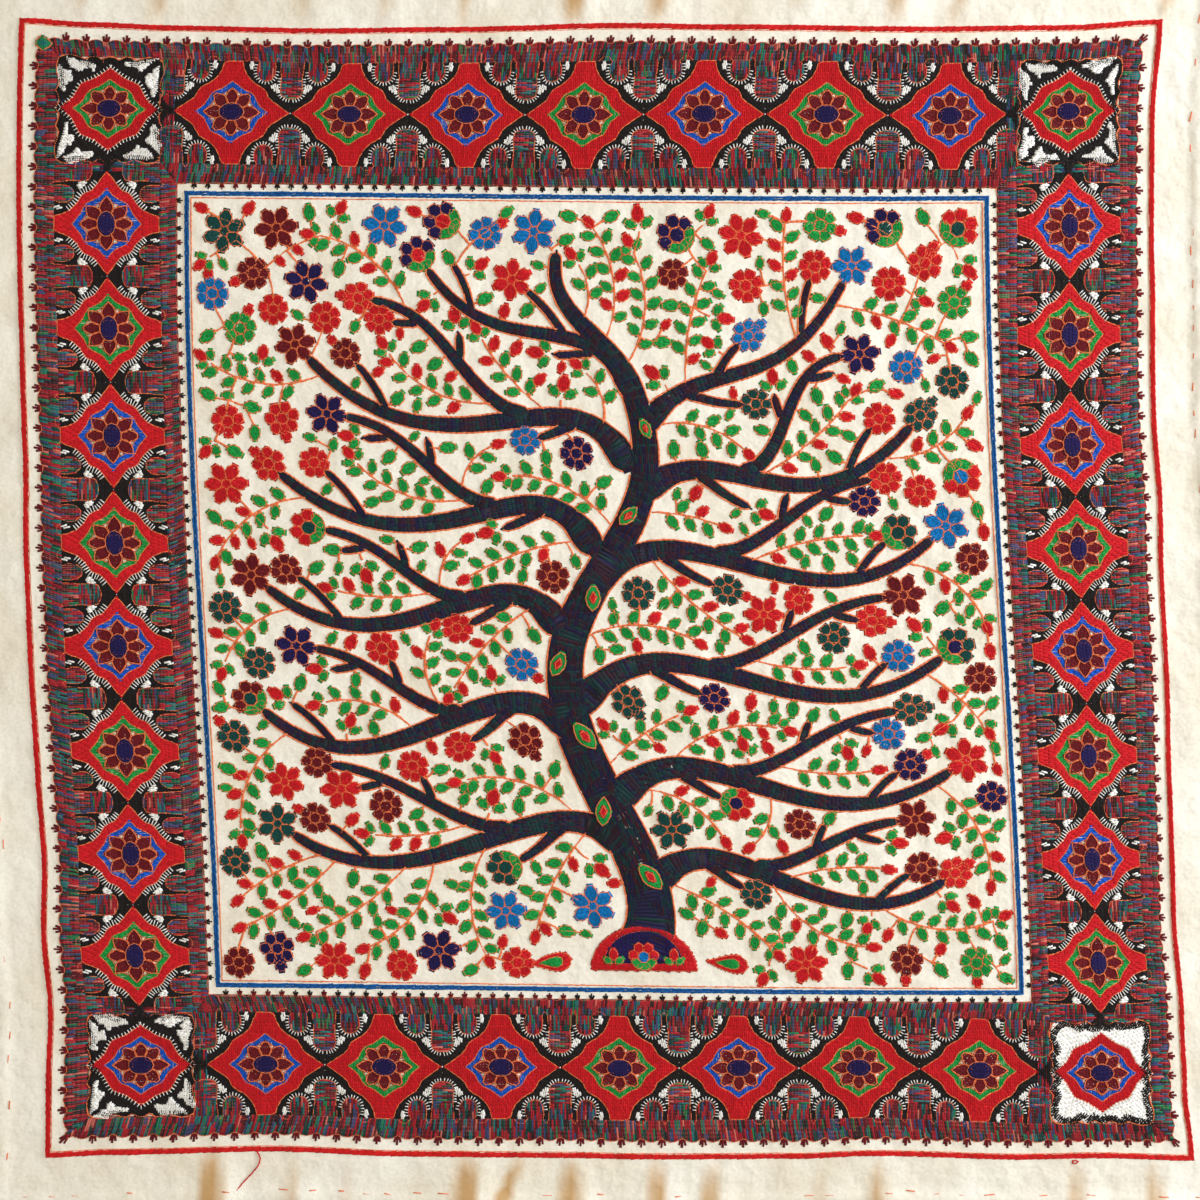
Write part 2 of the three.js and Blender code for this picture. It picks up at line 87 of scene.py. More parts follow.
relief = {
    "foldHeight": 6.0,
    "foldStart": -10.0,
    # at, height, reach on the left, reach on the right, lean
    "headFolds": ((-400, .5, 24, 11, 0), (-339, .55, 22, 10, .1), (-218, .5, 26, 12, -.1),
                  (-155, .45, 22, 12, 0), (-97, .4, 16, 12, .15), (-2, 1, 27, 10, 0),
                  (63, .8, 25, 11, .1), (175, .4, 24, 14, 0), (255, .65, 24, 10, 0),
                  (295, .4, 16, 12, .3), (360, .35, 22, 14, 0), (468, .55, 20, 12, .25)),
    "footFolds": ((-314, 1, 24, 10, 0), (-252, .4, 20, 14, 0), (-208, .35, 22, 14, 0),
                  (-109, 1, 28, 9, 0), (-72, .6, 16, 12, -.4), (-28, .8, 24, 10, 0),
                  (38, .7, 22, 10, .1), (86, .65, 24, 12, -.1), (171, .4, 24, 16, 0),
                  (215, .55, 22, 12, 0), (375, .55, 24, 12, 0), (435, .55, 22, 12, .1)),
    # soft creases, as low ridges in from the folds and in the field: from, to, height, half width
    "creases": (((-6, 460), (-14, 300), 1.1, 11), ((-110, -458), (-104, -330), .8, 12),
                ((-322, 290), (-306, 236), .9, 7), ((-300, 250), (-262, 214), .6, 8),
                ((250, 458), (246, 350), .6, 10), ((40, -460), (44, -352), .6, 10),
                ((-316, -60), (-284, -120), .7, 8), ((300, 196), (262, 168), .6, 8),
                ((60, 316), (84, 262), .7, 8), ((-120, -316), (-150, -270), .7, 8),
                ((120, -310), (156, -282), .6, 8), ((-306, 60), (-262, 84), .5, 8)),
    "paintedShadeFrom": .06,         # the slope where a fold's painted shade starts, and over how much it comes up
    "paintedShadeOver": .2,
    "puckerHeight": .8,
    "puckerWaves": 30,
    "puckerShortest": 13.0,
    "puckerLongest": 70.0,
    "seed": 11,
}


def smooth(t):
    t = np.clip(t, 0, 1)
    return t * t * (3 - 2 * t)


# a table's value at each place: a cubic ease from one row to the next
def easeTable(rows, place):
    at, out = np.array(rows, float).T
    k = np.clip(np.searchsorted(at, place) - 1, 0, len(at) - 2)
    return out[k] + (out[k + 1] - out[k]) * smooth((place - at[k]) / (at[k + 1] - at[k]))


# the weights of a cubic through the four stations
def stationWeights(place):
    stations = plan["stations"]
    weights = []
    for own in stations:
        others = [other for other in stations if other != own]
        weights.append(np.prod([(place - other) / (own - other) for other in others], axis=0))
    return weights


# how far the needlework strays, right and up: each side's two tables, blended by a cubic ease across the
# corners' diagonals, and eased to nothing at both edges of the band
def strayAt(x, y):
    depth = plan["lineHalf"] - np.maximum(np.abs(x), np.abs(y))
    hold = smooth((depth - plan["bandStart"]) / plan["strayFade"])
    hold *= smooth((plan["bandEnd"] - depth) / plan["strayFade"])
    upright = smooth(.5 + (np.abs(y) - np.abs(x)) / plan["cornerBlend"])
    read = {}
    for side, place in (("head", x), ("foot", x), ("left", y), ("right", y)):
        rows = np.array(plan[side + "Strays"])
        read[side] = easeTable(rows[:, [0, 1]], place), easeTable(rows[:, [0, 2]], place)
    (levelAlong, levelIn), (flankAlong, flankIn) = [
        [np.where(here, near, far) for near, far in zip(read[a], read[b])]
        for here, a, b in ((y > 0, "head", "foot"), (x > 0, "right", "left"))]
    right = upright * levelAlong - (1 - upright) * np.sign(x) * flankIn
    up = (1 - upright) * flankAlong - upright * np.sign(y) * levelIn
    return hold * right, hold * up


# plan to cloth: the strays, the pulls blended by two cubics, and each side's wander, which fades inwards as
# a square
def onCloth(points):
    x, y = points[:, 0], points[:, 1]
    across, upward = stationWeights(x), stationWeights(y)
    right, up = strayAt(x, y)
    for j, row in enumerate(plan["pulls"]):
        for i, (pullRight, pullUp) in enumerate(row):
            share = across[i] * upward[j]
            right += pullRight * share
            up += pullUp * share
    hold = lambda out: (1 - np.clip((plan["lineHalf"] - out) / plan["waveReach"], 0, 1)) ** 2
    up += easeTable(plan["head"], x) * hold(y) - easeTable(plan["foot"], x) * hold(-y)
    right += easeTable(plan["right"], y) * hold(x) - easeTable(plan["left"], y) * hold(-x)
    return np.stack([x + right, y + up], 1)


# how far the margins' folds have grown: a cubic ease from just inside the line to the cloth's edge
def foldGrowth(out):
    return smooth((out - relief["foldStart"]) / (plan["margin"] - relief["foldStart"]))


# the folds of the margins: for each crest a slow rise and a steep fall, growing from the line outwards
def foldAt(x, y):
    out = np.abs(y) - plan["lineHalf"]
    grow = foldGrowth(out)
    high = np.zeros(len(x))
    for name, mine in (("headFolds", y > 0), ("footFolds", y <= 0)):
        near = np.flatnonzero(mine & (grow > 0))
        at, height, left, rightReach, lean = np.array(relief[name], float).T
        away = x[near, None] - at - lean * out[near, None]
        share = np.where(away < 0, -away / left, away / rightReach)
        high[near] = (height * (1 - smooth(share))).max(1)
    return relief["foldHeight"] * grow * high


# how much painted shade a fold's slow left face gets, the face turned from the key lamp: an ease of its slope
# across, evened out along the fold
def paintedFoldShade(x, y):
    slope = (foldAt(x + 2, y) - foldAt(x - 2, y)) / 4
    grow = foldGrowth(np.abs(y) - plan["lineHalf"])
    return smooth((slope / (grow + .06) ** .7 - relief["paintedShadeFrom"]) / relief["paintedShadeOver"])


# small puckers: the waves that add up to them, each of a seeded direction and of a length between two limits
def makePuckers():
    rng = np.random.default_rng(relief["seed"])
    count = relief["puckerWaves"]
    length = np.geomspace(relief["puckerShortest"], relief["puckerLongest"], count)
    turn = rng.uniform(0, math.tau, count)
    phase = rng.uniform(0, math.tau, count)
    return math.tau / length * np.cos(turn), math.tau / length * np.sin(turn), phase, length ** .6


puckers = makePuckers()


# height of the puckers and creases: the waves' sum, evened to a standard size, and a bell across each crease
def puckerAt(x, y):
    total = np.zeros(len(x))
    waveX, waveY, phase, size = puckers
    for k in range(len(phase)):
        total += size[k] * np.sin(waveX[k] * x + waveY[k] * y + phase[k])
    total /= np.sqrt((size ** 2).sum() / 2)
    for start, end, height, reach in relief["creases"]:
        start, way = np.array(start, float), np.subtract(end, start)
        along = np.clip(((x - start[0]) * way[0] + (y - start[1]) * way[1]) / (way @ way), 0, 1)
        off = np.hypot(x - start[0] - along * way[0], y - start[1] - along * way[1])
        ridge = np.exp(-(off / reach) ** 2) * np.sin(math.pi * (.1 + .8 * along))
        total += height / relief["puckerHeight"] * ridge
    depth = plan["lineHalf"] - np.maximum(np.abs(x), np.abs(y))
    # the close-worked band lies flatter
    stiff = smooth(depth / 20) * smooth((plan["innerLine"] + 10 - depth) / 20)
    return relief["puckerHeight"] * (total * .5 * (1 - .65 * stiff) + 1.2).clip(0)


# height of the cloth's lower face on the plan
def underAt(points):
    x, y = points[:, 0], points[:, 1]
    return foldAt(x, y) + puckerAt(x, y)


sheet = {
    "lines": 138,            # grid lines each way
    "thickness": 1.6,
    "hemWidth": 11.5,
    "hemStep": 1.5,
    "hemRise": .9,
}


# height of the cloth's upper face, which the stitches stand on
def topAt(points):
    return underAt(points) + sheet["thickness"]


clothEdge = plan["lineHalf"] + plan["margin"]


# where the plan's middle lies in the object's frame: the sheet's own box, centred on the CAD node's
def findMiddle():
    t = np.linspace(-clothEdge, clothEdge, 400)
    full = np.full(400, clothEdge)
    rim = onCloth(np.concatenate([np.stack([t, full], 1), np.stack([t, -full], 1),
                                  np.stack([full, t], 1), np.stack([-full, t], 1)]))
    low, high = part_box("embroidered_panel")
    nodeMiddle = np.array([low.x + high.x, low.y + high.y]) / 2 / mm
    return nodeMiddle - (rim.min(0) + rim.max(0)) / 2


middle = findMiddle()


# plan points and heights, in millimetres, to points in the object's own frame
def toFrame(points, heights):
    flat = onCloth(points) + middle
    return np.column_stack([flat, heights]) * mm


# a mesh from whole arrays of points, triangles and one UV pair for each point
def makeObject(name, points, faces, uv, material):
    mesh = bpy.data.meshes.new(name)
    mesh.vertices.add(len(points))
    mesh.vertices.foreach_set("co", points.astype(np.float32).ravel())
    mesh.loops.add(faces.size)
    mesh.loops.foreach_set("vertex_index", faces.astype(np.int32).ravel())
    mesh.polygons.add(len(faces))
    sides = faces.shape[1]
    mesh.polygons.foreach_set("loop_start", np.arange(len(faces), dtype=np.int32) * sides)
    mesh.polygons.foreach_set("use_smooth", np.ones(len(faces), bool))
    layer = mesh.uv_layers.new(name="OFBake")
    layer.data.foreach_set("uv", uv[faces.ravel()].astype(np.float32).ravel())
    mesh.update(calc_edges=True)
    mesh.validate()
    mesh.materials.append(material)
    piece = bpy.data.objects.new(name, mesh)
    bpy.context.scene.collection.objects.link(piece)
    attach(piece, "root")
    return piece


# a colour of 0 to 255 as scene-linear shares
def linear(colour):
    c = np.array(colour, float) / 255
    return tuple(np.where(c <= .04045, c / 12.92, ((c + .055) / 1.055) ** 2.4)) + (1.0,)


yarnColours = {
    "red": (200, 24, 34), "lineRed": (206, 30, 30), "maroon": (104, 18, 28), "navy": (30, 20, 76),
    "ringBlue": (12, 86, 196), "flowerBlue": (0, 112, 180), "lineBlue": (8, 84, 152), "green": (22, 150, 66),
    "darkGreen": (16, 70, 66), "orange": (236, 124, 76), "black": (26, 22, 22), "white": (252, 250, 244),
    "crimson": (172, 34, 48), "teal": (36, 116, 118), "wine": (108, 28, 40), "rose": (206, 112, 100),
    "leafGreen": (36, 124, 80), "slate": (58, 74, 116), "soot": (52, 34, 38), "dust": (152, 92, 82),
    "bark": (46, 26, 40), "umber": (62, 26, 38), "pine": (20, 52, 54), "ink": (28, 26, 60),
    "cream": (240, 231, 208),
}


class Nodes:
    # a short way to add a node, set its sockets and join it to others
    def __init__(self, name):
        self.material = bpy.data.materials.new(name)
        self.material.use_nodes = True
        self.tree = self.material.node_tree
        self.shader = self.tree.nodes["Principled BSDF"]

    def add(self, kind, **settings):
        node = self.tree.nodes.new(kind)
        for key, value in settings.items():
            setattr(node, key, value)
        return node

    def join(self, source, target):
        self.tree.links.new(source, target)

    def set(self, node, **values):
        for key, value in values.items():
            node.inputs[key.replace("_", " ")].default_value = value

    # a noise on the piece's own coordinates
    def noise(self, place, scale, detail):
        node = self.add("ShaderNodeTexNoise")
        self.set(node, Scale=scale, Detail=detail)
        self.join(place.outputs["Object"], node.inputs["Vector"])
        return node

    def bump(self, height, strength, distance):
        node = self.add("ShaderNodeBump")
        self.set(node, Strength=strength, Distance=distance)
        self.join(height, node.inputs["Height"])
        return node

    # one colour darkened by another
    def shade(self, colour, by):
        node = self.add("ShaderNodeMix", data_type="RGBA", blend_type="MULTIPLY")
        self.set(node, Factor=1)
        self.join(colour, node.inputs["A"])
        self.join(by, node.inputs["B"])
        return node.outputs["Result"]

    # the finish that all wool here shares: matt, with a faint sheen
    def finish(self, roughness, specular, sheen):
        self.set(self.shader, Roughness=roughness, Specular_IOR_Level=specular, Sheen_Weight=sheen,
                 Sheen_Roughness=.5)
        return self.material


# wool yarn: the UV's first number picks the colour and its shade, the second runs along the stitch
def yarnMaterial(name, colours, darker=.78, lighter=1.12):
    n = Nodes(name)
    uv = n.add("ShaderNodeUVMap", uv_map="OFBake")
    split = n.add("ShaderNodeSeparateXYZ")
    n.join(uv.outputs["UV"], split.inputs[0])
    ramp = n.add("ShaderNodeValToRGB")
    stops = ramp.color_ramp.elements
    edge = .002
    places = []
    for k, colour in enumerate(colours):
        base = np.array(linear(yarnColours[colour]))
        for share, gain in ((k + edge * len(colours), darker), (k + 1 - edge * len(colours), lighter)):
            places.append((share / len(colours), np.append((base[:3] * gain).clip(0, 1), 1)))
    stops[0].position, stops[0].color = places[0]
    stops[1].position, stops[1].color = places[-1]
    for place, colour in places[1:-1]:
        stops.new(place).color = colour
    n.join(split.outputs["X"], ramp.inputs["Fac"])
    ends = n.add("ShaderNodeMapRange", interpolation_type="SMOOTHSTEP")   # painted shade: darker at both ends, where the yarn goes down into the cloth
    far = n.add("ShaderNodeMath", operation="PINGPONG")
    n.join(split.outputs["Y"], far.inputs[0])
    far.inputs[1].default_value = .5
    n.join(far.outputs[0], ends.inputs["Value"])
    n.set(ends, From_Max=.22, To_Min=.78)
    n.join(n.shade(ramp.outputs["Color"], ends.outputs["Result"]), n.shader.inputs["Base Color"])
    fuzz = n.noise(n.add("ShaderNodeTexCoord"), 1400, 2)
    n.join(n.bump(fuzz.outputs["Fac"], .35, .0004).outputs["Normal"], n.shader.inputs["Normal"])
    return n.finish(.88, .22, .05)


# cream wool twill: fine diagonal ribs, slubs, a soft warm unevenness of tone, and painted tan shade on the
# folds' slow faces
def clothMaterial():
    n = Nodes("creamTwill")
    place = n.add("ShaderNodeTexCoord")
    ribs = n.add("ShaderNodeTexWave", wave_type="BANDS", bands_direction="DIAGONAL")
    n.set(ribs, Scale=400, Distortion=1.2, Detail=1)
    n.join(place.outputs["Object"], ribs.inputs["Vector"])
    slubs = n.noise(place, 420, 3)
    cloudy = n.noise(place, 16, 4)
    tone = n.add("ShaderNodeValToRGB")
    tone.color_ramp.elements[0].position = .3
    tone.color_ramp.elements[0].color = linear((232, 224, 206))
    tone.color_ramp.elements[1].position = .62
    tone.color_ramp.elements[1].color = linear((242, 238, 228))
    n.join(cloudy.outputs["Fac"], tone.inputs["Fac"])
    speck = n.add("ShaderNodeMapRange")
    n.join(slubs.outputs["Fac"], speck.inputs["Value"])
    n.set(speck, From_Min=.3, From_Max=.6, To_Min=.9)
    shaded = n.shade(tone.outputs["Color"], speck.outputs["Result"])
    foldShadeMask = n.add("ShaderNodeAttribute", attribute_name="paintedFoldShade")      # painted tan shade on the folds' slow faces, which turn from the key lamp
    share = n.add("ShaderNodeMath", operation="MULTIPLY")
    n.join(foldShadeMask.outputs["Fac"], share.inputs[0])
    share.inputs[1].default_value = .95
    foldShadeMix = n.add("ShaderNodeMix", data_type="RGBA")
    n.join(share.outputs[0], foldShadeMix.inputs["Factor"])
    n.join(shaded, foldShadeMix.inputs["A"])
    # painted shade: the tan that the folds' shaded faces are mixed towards
    foldShadeMix.inputs["B"].default_value = linear((204, 162, 108))
    n.join(foldShadeMix.outputs["Result"], n.shader.inputs["Base Color"])
    both = n.add("ShaderNodeMath", operation="MULTIPLY_ADD")
    n.join(ribs.outputs["Fac"], both.inputs[0])
    both.inputs[1].default_value = .5
    n.join(slubs.outputs["Fac"], both.inputs[2])
    soft = n.bump(n.noise(place, 75, 2).outputs["Fac"], .7, .003)      # crinkles drawn up by the needlework
    fine = n.bump(both.outputs[0], .4, .0004)
    n.join(soft.outputs["Normal"], fine.inputs["Normal"])
    n.join(fine.outputs["Normal"], n.shader.inputs["Normal"])
    return n.finish(.92, .2, .15)


# the cloth: one grid on the plan, laid once as the lower face and once as the upper, joined round the rim
def makeCloth():
    hemInner = clothEdge - sheet["hemWidth"]
    ends = [hemInner - sheet["hemStep"], hemInner, (hemInner + clothEdge) / 2, clothEdge]
    inside = np.linspace(-ends[0], ends[0], sheet["lines"])
    lines = np.concatenate([-np.array(ends[:0:-1]), inside, ends[1:]])
    count = len(lines)
    x, y = np.meshgrid(lines, lines)
    points = np.stack([x.ravel(), y.ravel()], 1)
    outer = np.abs(points).max(1)
    edgeRound = .55 * smooth((outer - clothEdge + 3) / 3)     # the turned edge is rounded off
    lift = underAt(points)
    thick = sheet["thickness"] + sheet["hemRise"] * (outer >= hemInner - 1e-6)
    lower = toFrame(points, lift + edgeRound)
    upper = toFrame(points, lift + thick - edgeRound)
    a = (np.arange(count - 1)[:, None] * count + np.arange(count - 1)).ravel()
    quads = np.stack([a, a + 1, a + count + 1, a + count], 1)
    layer = count * count
    rimA = np.concatenate([np.arange(count - 1), np.arange(count - 1) * count + count - 1,
                           layer - 1 - np.arange(count - 1), layer - count - np.arange(count - 1) * count])
    rimB = np.roll(rimA, -1)
    walls = np.stack([rimA, rimB, rimB + layer, rimA + layer], 1)
    faces = np.concatenate([quads + layer, quads[:, ::-1], walls])
    share = (points / clothEdge + 1) / 2
    upperUv = share * [.49, .98] + [.505, .01]
    lowerUv = share * [.49, .98] + [.005, .01]
    piece = makeObject("clothSheet", np.concatenate([lower, upper]), faces,
                       np.concatenate([lowerUv, upperUv]), clothMaterial())
    # painted shade on the folds, kept on the sheet's points for its material
    tint = paintedFoldShade(points[:, 0], points[:, 1])
    layer = piece.data.attributes.new("paintedFoldShade", "FLOAT", "POINT")
    layer.data.foreach_set("value", np.concatenate([tint, tint]).astype(np.float32))
    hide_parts("embroidered_panel")


bank = {}    # strokes waiting to be sewn, by piece


# keeps strokes for a piece: each has a start, an end, a width and a height, and a colour of its palette
def sew(name, start, end, width=1.5, height=.75, colour=0, level=0.0):
    count = len(start)
    whole = lambda value: np.broadcast_to(np.asarray(value, float), (count,)).copy()
    ends = [np.asarray(start, float), np.asarray(end, float)]
    bank.setdefault(name, []).append((*ends, *map(whole, (width, height, colour, level))))


# one piece from its strokes. Each is a small hipped roof with a closed base: four corners on the cloth and
# a ridge above them, drawn in from both ends, so that it shades as a round strand
def makeStitches(name, colours, seed, loose=.12, wobble=.13, lap=.6):
    start, end, width, height, colour, level = [np.concatenate(part) for part in zip(*bank[name])]
    count = len(start)
    rng = np.random.default_rng(seed)
    start = start + rng.normal(0, wobble, (count, 2))
    end = end + rng.normal(0, wobble, (count, 2))
    width = width * rng.uniform(1 - loose, 1 + loose, count)
    height = height * rng.uniform(1 - loose, 1 + loose, count)
    way = end - start
    length = np.maximum(np.hypot(way[:, 0], way[:, 1]), .2)
    way /= length[:, None]
    start, end = start - way * lap, end + way * lap
    side = np.stack([-way[:, 1], way[:, 0]], 1) * (width / 2)[:, None]
    inset = way * np.minimum(.26 * length, .9 * width)[:, None]
    corners = np.stack([start + side, start - side, end - side, end + side, start + inset, end - inset], 1)
    flat = corners.reshape(-1, 2)
    rise = np.stack([level - .25] * 4 + [level + height] * 2, 1).ravel()
    points = toFrame(flat, topAt(flat) + rise)
    roof = np.array([[1, 2, 5], [1, 5, 4], [3, 0, 4], [3, 4, 5], [0, 1, 4], [2, 3, 5], [0, 3, 2], [0, 2, 1]])
    faces = (np.arange(count)[:, None, None] * 6 + roof).reshape(-1, 3)
    thin = .004
    pick = (colour + rng.uniform(.08, .92, count)) / len(colours)
    u = pick[:, None] + thin * np.array([-1, 1, 1, -1, 0, 0]) / len(colours)
    v = np.broadcast_to(np.array([.02, .02, .98, .98, .2, .8]), (count, 6))
    uv = np.stack([u.ravel(), v.ravel()], 1)
    print("sewn", name, count, "stitches")
    return makeObject(name, points, faces, uv, yarnMaterial(name + "Yarn", colours))


# parallel strokes inside closed rings (an inner ring is a hole): rows a pitch apart, cut where they cross
# the rings, then into stitches, every other row shifted by half a stitch. Gives starts, ends and row numbers
def fillRings(rings, angle, pitch, length):
    c, s = math.cos(angle), math.sin(angle)
    turn = np.array([[c, -s], [s, c]])
    laid = [np.asarray(ring, float) @ turn for ring in rings]
    p = np.concatenate(laid)
    q = np.concatenate([np.roll(ring, -1, 0) for ring in laid])
    low, high = p[:, 1].min(), p[:, 1].max()
    count = max(1, round((high - low) / pitch))
    starts, ends, rows = [], [], []
    for k in range(count):
        y = low + (k + .5) * (high - low) / count
        hit = (p[:, 1] <= y) != (q[:, 1] <= y)
        x = np.sort(p[hit, 0] + (y - p[hit, 1]) / (q[hit, 1] - p[hit, 1]) * (q[hit, 0] - p[hit, 0]))
        for x0, x1 in zip(x[::2], x[1::2]):
            if x1 - x0 < .7:
                continue
            phase = (k % 2) * .5
            cuts = x0 + length * (np.arange(1, 200) - phase)
            cuts = np.concatenate([[x0], cuts[(cuts > x0 + .3 * length) & (cuts < x1 - .3 * length)], [x1]])
            starts.append(np.stack([cuts[:-1], np.full(len(cuts) - 1, y)], 1))
            ends.append(np.stack([cuts[1:], np.full(len(cuts) - 1, y)], 1))
            rows.append(np.full(len(cuts) - 1, k))
    return np.concatenate(starts) @ turn.T, np.concatenate(ends) @ turn.T, np.concatenate(rows)


# a chain of stitches along a line of points, each a step long
def chain(line, step, closed=True):
    line = np.asarray(line, float)
    if closed:
        line = np.concatenate([line, line[:1]])
    run = np.concatenate([[0], np.cumsum(np.hypot(*np.diff(line, axis=0).T))])
    count = max(2, round(run[-1] / step))
    at = np.linspace(0, run[-1], count + 1)
    points = np.stack([np.interp(at, run, line[:, 0]), np.interp(at, run, line[:, 1])], 1)
    return points[:-1], points[1:]


# copies of local strokes: mirrored where flip is -1, scaled, turned and moved to each place
def copies(points, places, turns, scales=1.0, flips=1.0):
    turns, scales, flips = [np.broadcast_to(np.asarray(value, float), (len(places),))[:, None]
                            for value in (turns, scales, flips)]
    x = points[None, :, 0] * flips * scales
    y = points[None, :, 1] * scales
    c, s = np.cos(turns), np.sin(turns)
    placed = np.stack([x * c - y * s, x * s + y * c], -1) + np.asarray(places)[:, None, :]
    return placed.reshape(-1, 2)


# a quarter outline, from the across axis to the along axis, mirrored both ways into a ring
def ringFromQuarter(quarter):
    q = np.array(quarter, float)
    top = q if q[0, 0] > 0 else q[1:]
    right = np.concatenate([q, (q[:-1] if q[-1, 1] == 0 else q)[::-1] * [1, -1]])
    left = np.concatenate([top, (q[:-1] if q[-1, 1] == 0 else q)[::-1] * [1, -1]])[::-1] * [-1, 1]
    if q[0, 0] == 0:
        left = left[1:]
    return np.concatenate([right, left])


# an ellipse's points, evenly turned
def oval(rx, ry, count=20):
    t = np.arange(count) / count * math.tau
    return np.stack([rx * np.cos(t), ry * np.sin(t)], 1)


# a petal or leaf along +X: width follows a power of a sine, fuller towards the root or the tip
def teardrop(root, tip, halfWidth, fullness=.8, count=9):
    t = np.linspace(0, 1, count)
    w = halfWidth * np.sin(math.pi * t ** fullness) ** .85
    x = root + (tip - root) * t
    return np.concatenate([np.stack([x, -w], 1), np.stack([x, w], 1)[-2:0:-1]])


# points turned about the middle by an angle
def turned(points, angle):
    c, s = math.cos(angle), math.sin(angle)
    return np.asarray(points) @ np.array([[c, s], [-s, c]])


border = {
    "halfWidth": 43.0,           # of a medallion, across the band
    # side: count, how much wider the steps at its corners are, turn, ring colours in order, and how far its
    # rings are stretched along the side and across it
    "sides": (("head", 7, 1.04, 0, "bgbgbgb", (1.02, 1.07)),
              ("left", 8, 1.07, 90, "gbgbgbgb", (.975, 1.165)),
              ("foot", 7, 1.04, 180, "ggbgbgb", (1, 1.04)),
              ("right", 8, 1.07, 270, "bgbgbgbg", (.975, 1.165))),
    "cornerColours": "gbbg",
    "whiteCorner": 2,            # the corner whose field is pale all over
    "cornerStretch": (1.03, .99),
    # a corner's pale field: half its width, the power that squares it, its ripples and its pointed corners
    "fieldHalf": 42.6, "fieldPower": 9, "fieldRipple": 4.2, "fieldRipples": 20, "fieldPoint": 1.5,
    "bodyQuarter": ((.155, 1), (.18, .85), (.25, .7), (.37, .57), (.53, .475), (.58, .4), (.62, .28),
                    (.74, .18), (.975, 0)),
    "starQuarter": ((0, 24.5), (8, 18.5), (16.5, 15), (21.5, 5.5), (29, 0)),
    "ringInner": .79,            # the ring's inner edge, as a share of its outer one
    "cornerStar": 1.38,          # the corner star, as a multiple of the ring
    "petalRoot": 5.5, "petalAlong": 22.0, "petalAcross": 19.0, "petalHalfWidth": 5.0,
    "heart": (9.4, 7.0),
    "finger": ((0, 12), (4.6, 12.6), (8, 15), (9.4, 18.8), (8.6, 23), (8.4, 30), (9.2, 37), (9.6, 43.2)),
    "lobe": ((13.9, 43.2), (13.5, 37), (14.2, 31.5), (16.6, 28), (20.5, 26.4), (24.8, 27.4), (28, 31),
             (28.9, 36), (28.2, 40.5), (26.4, 43.2)),
    "fingerSplit": 6,            # rows of the finger that its crosswise tip takes up
    "fingerRim": ((8.5, 29), (8.6, 23), (9.4, 18.8), (8, 15), (4.6, 12.6), (1.4, 12.1)),
    "lobeRim": ((13.6, 35), (14.2, 31.5), (16.6, 28), (20.5, 26.4), (24.8, 27.4), (28, 31), (28.9, 36),
                (28.3, 40)),
    "whiteGaps": (((9.8, 15.5), (14.6, 19.6), (16.4, 22.4), (12.6, 24.6), (10.4, 22)),
                  ((31.4, 36), (33, 36.4), (33.8, 39.6), (32.8, 43), (31, 43), (30.6, 39.6))),
    "pitch": 1.5, "stitch": 8.5,
    "groundPitch": 1.62, "groundStitch": 9.5, "groundWidth": 1.95, "underPitch": 2.6, "underStitch": 24,
    "edgeWidth": 1.45, "edgeStep": 5.6, "edgeHeight": .85,
    "scallop": 16.2, "scallopDepth": 3.2,
    "innerBud": 11.2,
    "rungPitch": 2.5,
    "rungReach": 2.2,            # half a tick's length on the long sides
    "fringeOut": 1.6,            # how far the other ticks' middles stand off the fingers and lobes
    "lobeStep": 95.8,            # the steps between medallions that the lobe and the gaps are drawn for
    "gapStep": 92.6,
    # two small outline loops at the brackets' roots
    "tops": (((27, 43.2), (28.4, 46), (32, 47.2), (36, 45.6), (37.6, 43)),
             ((8.9, 43.2), (9.4, 45.2), (11.6, 46.4), (14, 45), (14.3, 43.2))),
    "crossing": ((-9, -11), (-4.5, -4), (1, -1.6), (1, 1.6), (-4.5, 4), (-9, 11)),
    # one of the two white wings in each corner of a corner field
    "wing": ((40.2, 37.5), (40.6, 31), (39.6, 24), (38, 16), (36, 10.5), (33.8, 12), (34.4, 17), (32.4, 21),
             (29, 23.4), (30.6, 26.2), (34, 28), (35.4, 31.8)),
    "seed": 21,
}
rowHalf = plan["lineHalf"] - plan["medallionRow"]      # middle to a row of medallions
ringNames = {"b": "blueRings", "g": "greenRings"}
stripEdge = border["halfWidth"]
outerEdge = plan["medallionRow"] - plan["bandStart"]
innerEdge = plan["bandEnd"] - plan["medallionRow"]


# from one medallion of a side to the next
def sideStep(count, cornerStep):
    return 2 * rowHalf / (count - 1 + 2 * cornerStep)


# what a row of points is multiplied by to turn it
def rotation(degrees):
    a = math.radians(degrees)
    return np.array([[math.cos(a), math.sin(a)], [-math.sin(a), math.cos(a)]])


# strokes repeated at many places
def sewCopies(name, a, b, places, turns, flips=1.0, **settings):
    sew(name, copies(a, places, turns, flips=flips), copies(b, places, turns, flips=flips), **settings)


# orange outline stitches along a local ring, at many places
def sewEdges(name, line, places, turns, closed=True, flips=1.0, width=None, step=None, level=0.0):
    a, b = chain(line, step or border["edgeStep"], closed)
    sewCopies(name, a, b, places, turns, flips, width=width or border["edgeWidth"],
              height=border["edgeHeight"], level=level)


firstLayer = {"pitch": 2.8, "length": 40, "width": 3.3, "height": .1, "ownLevel": .35, "sharedLevel": .1}

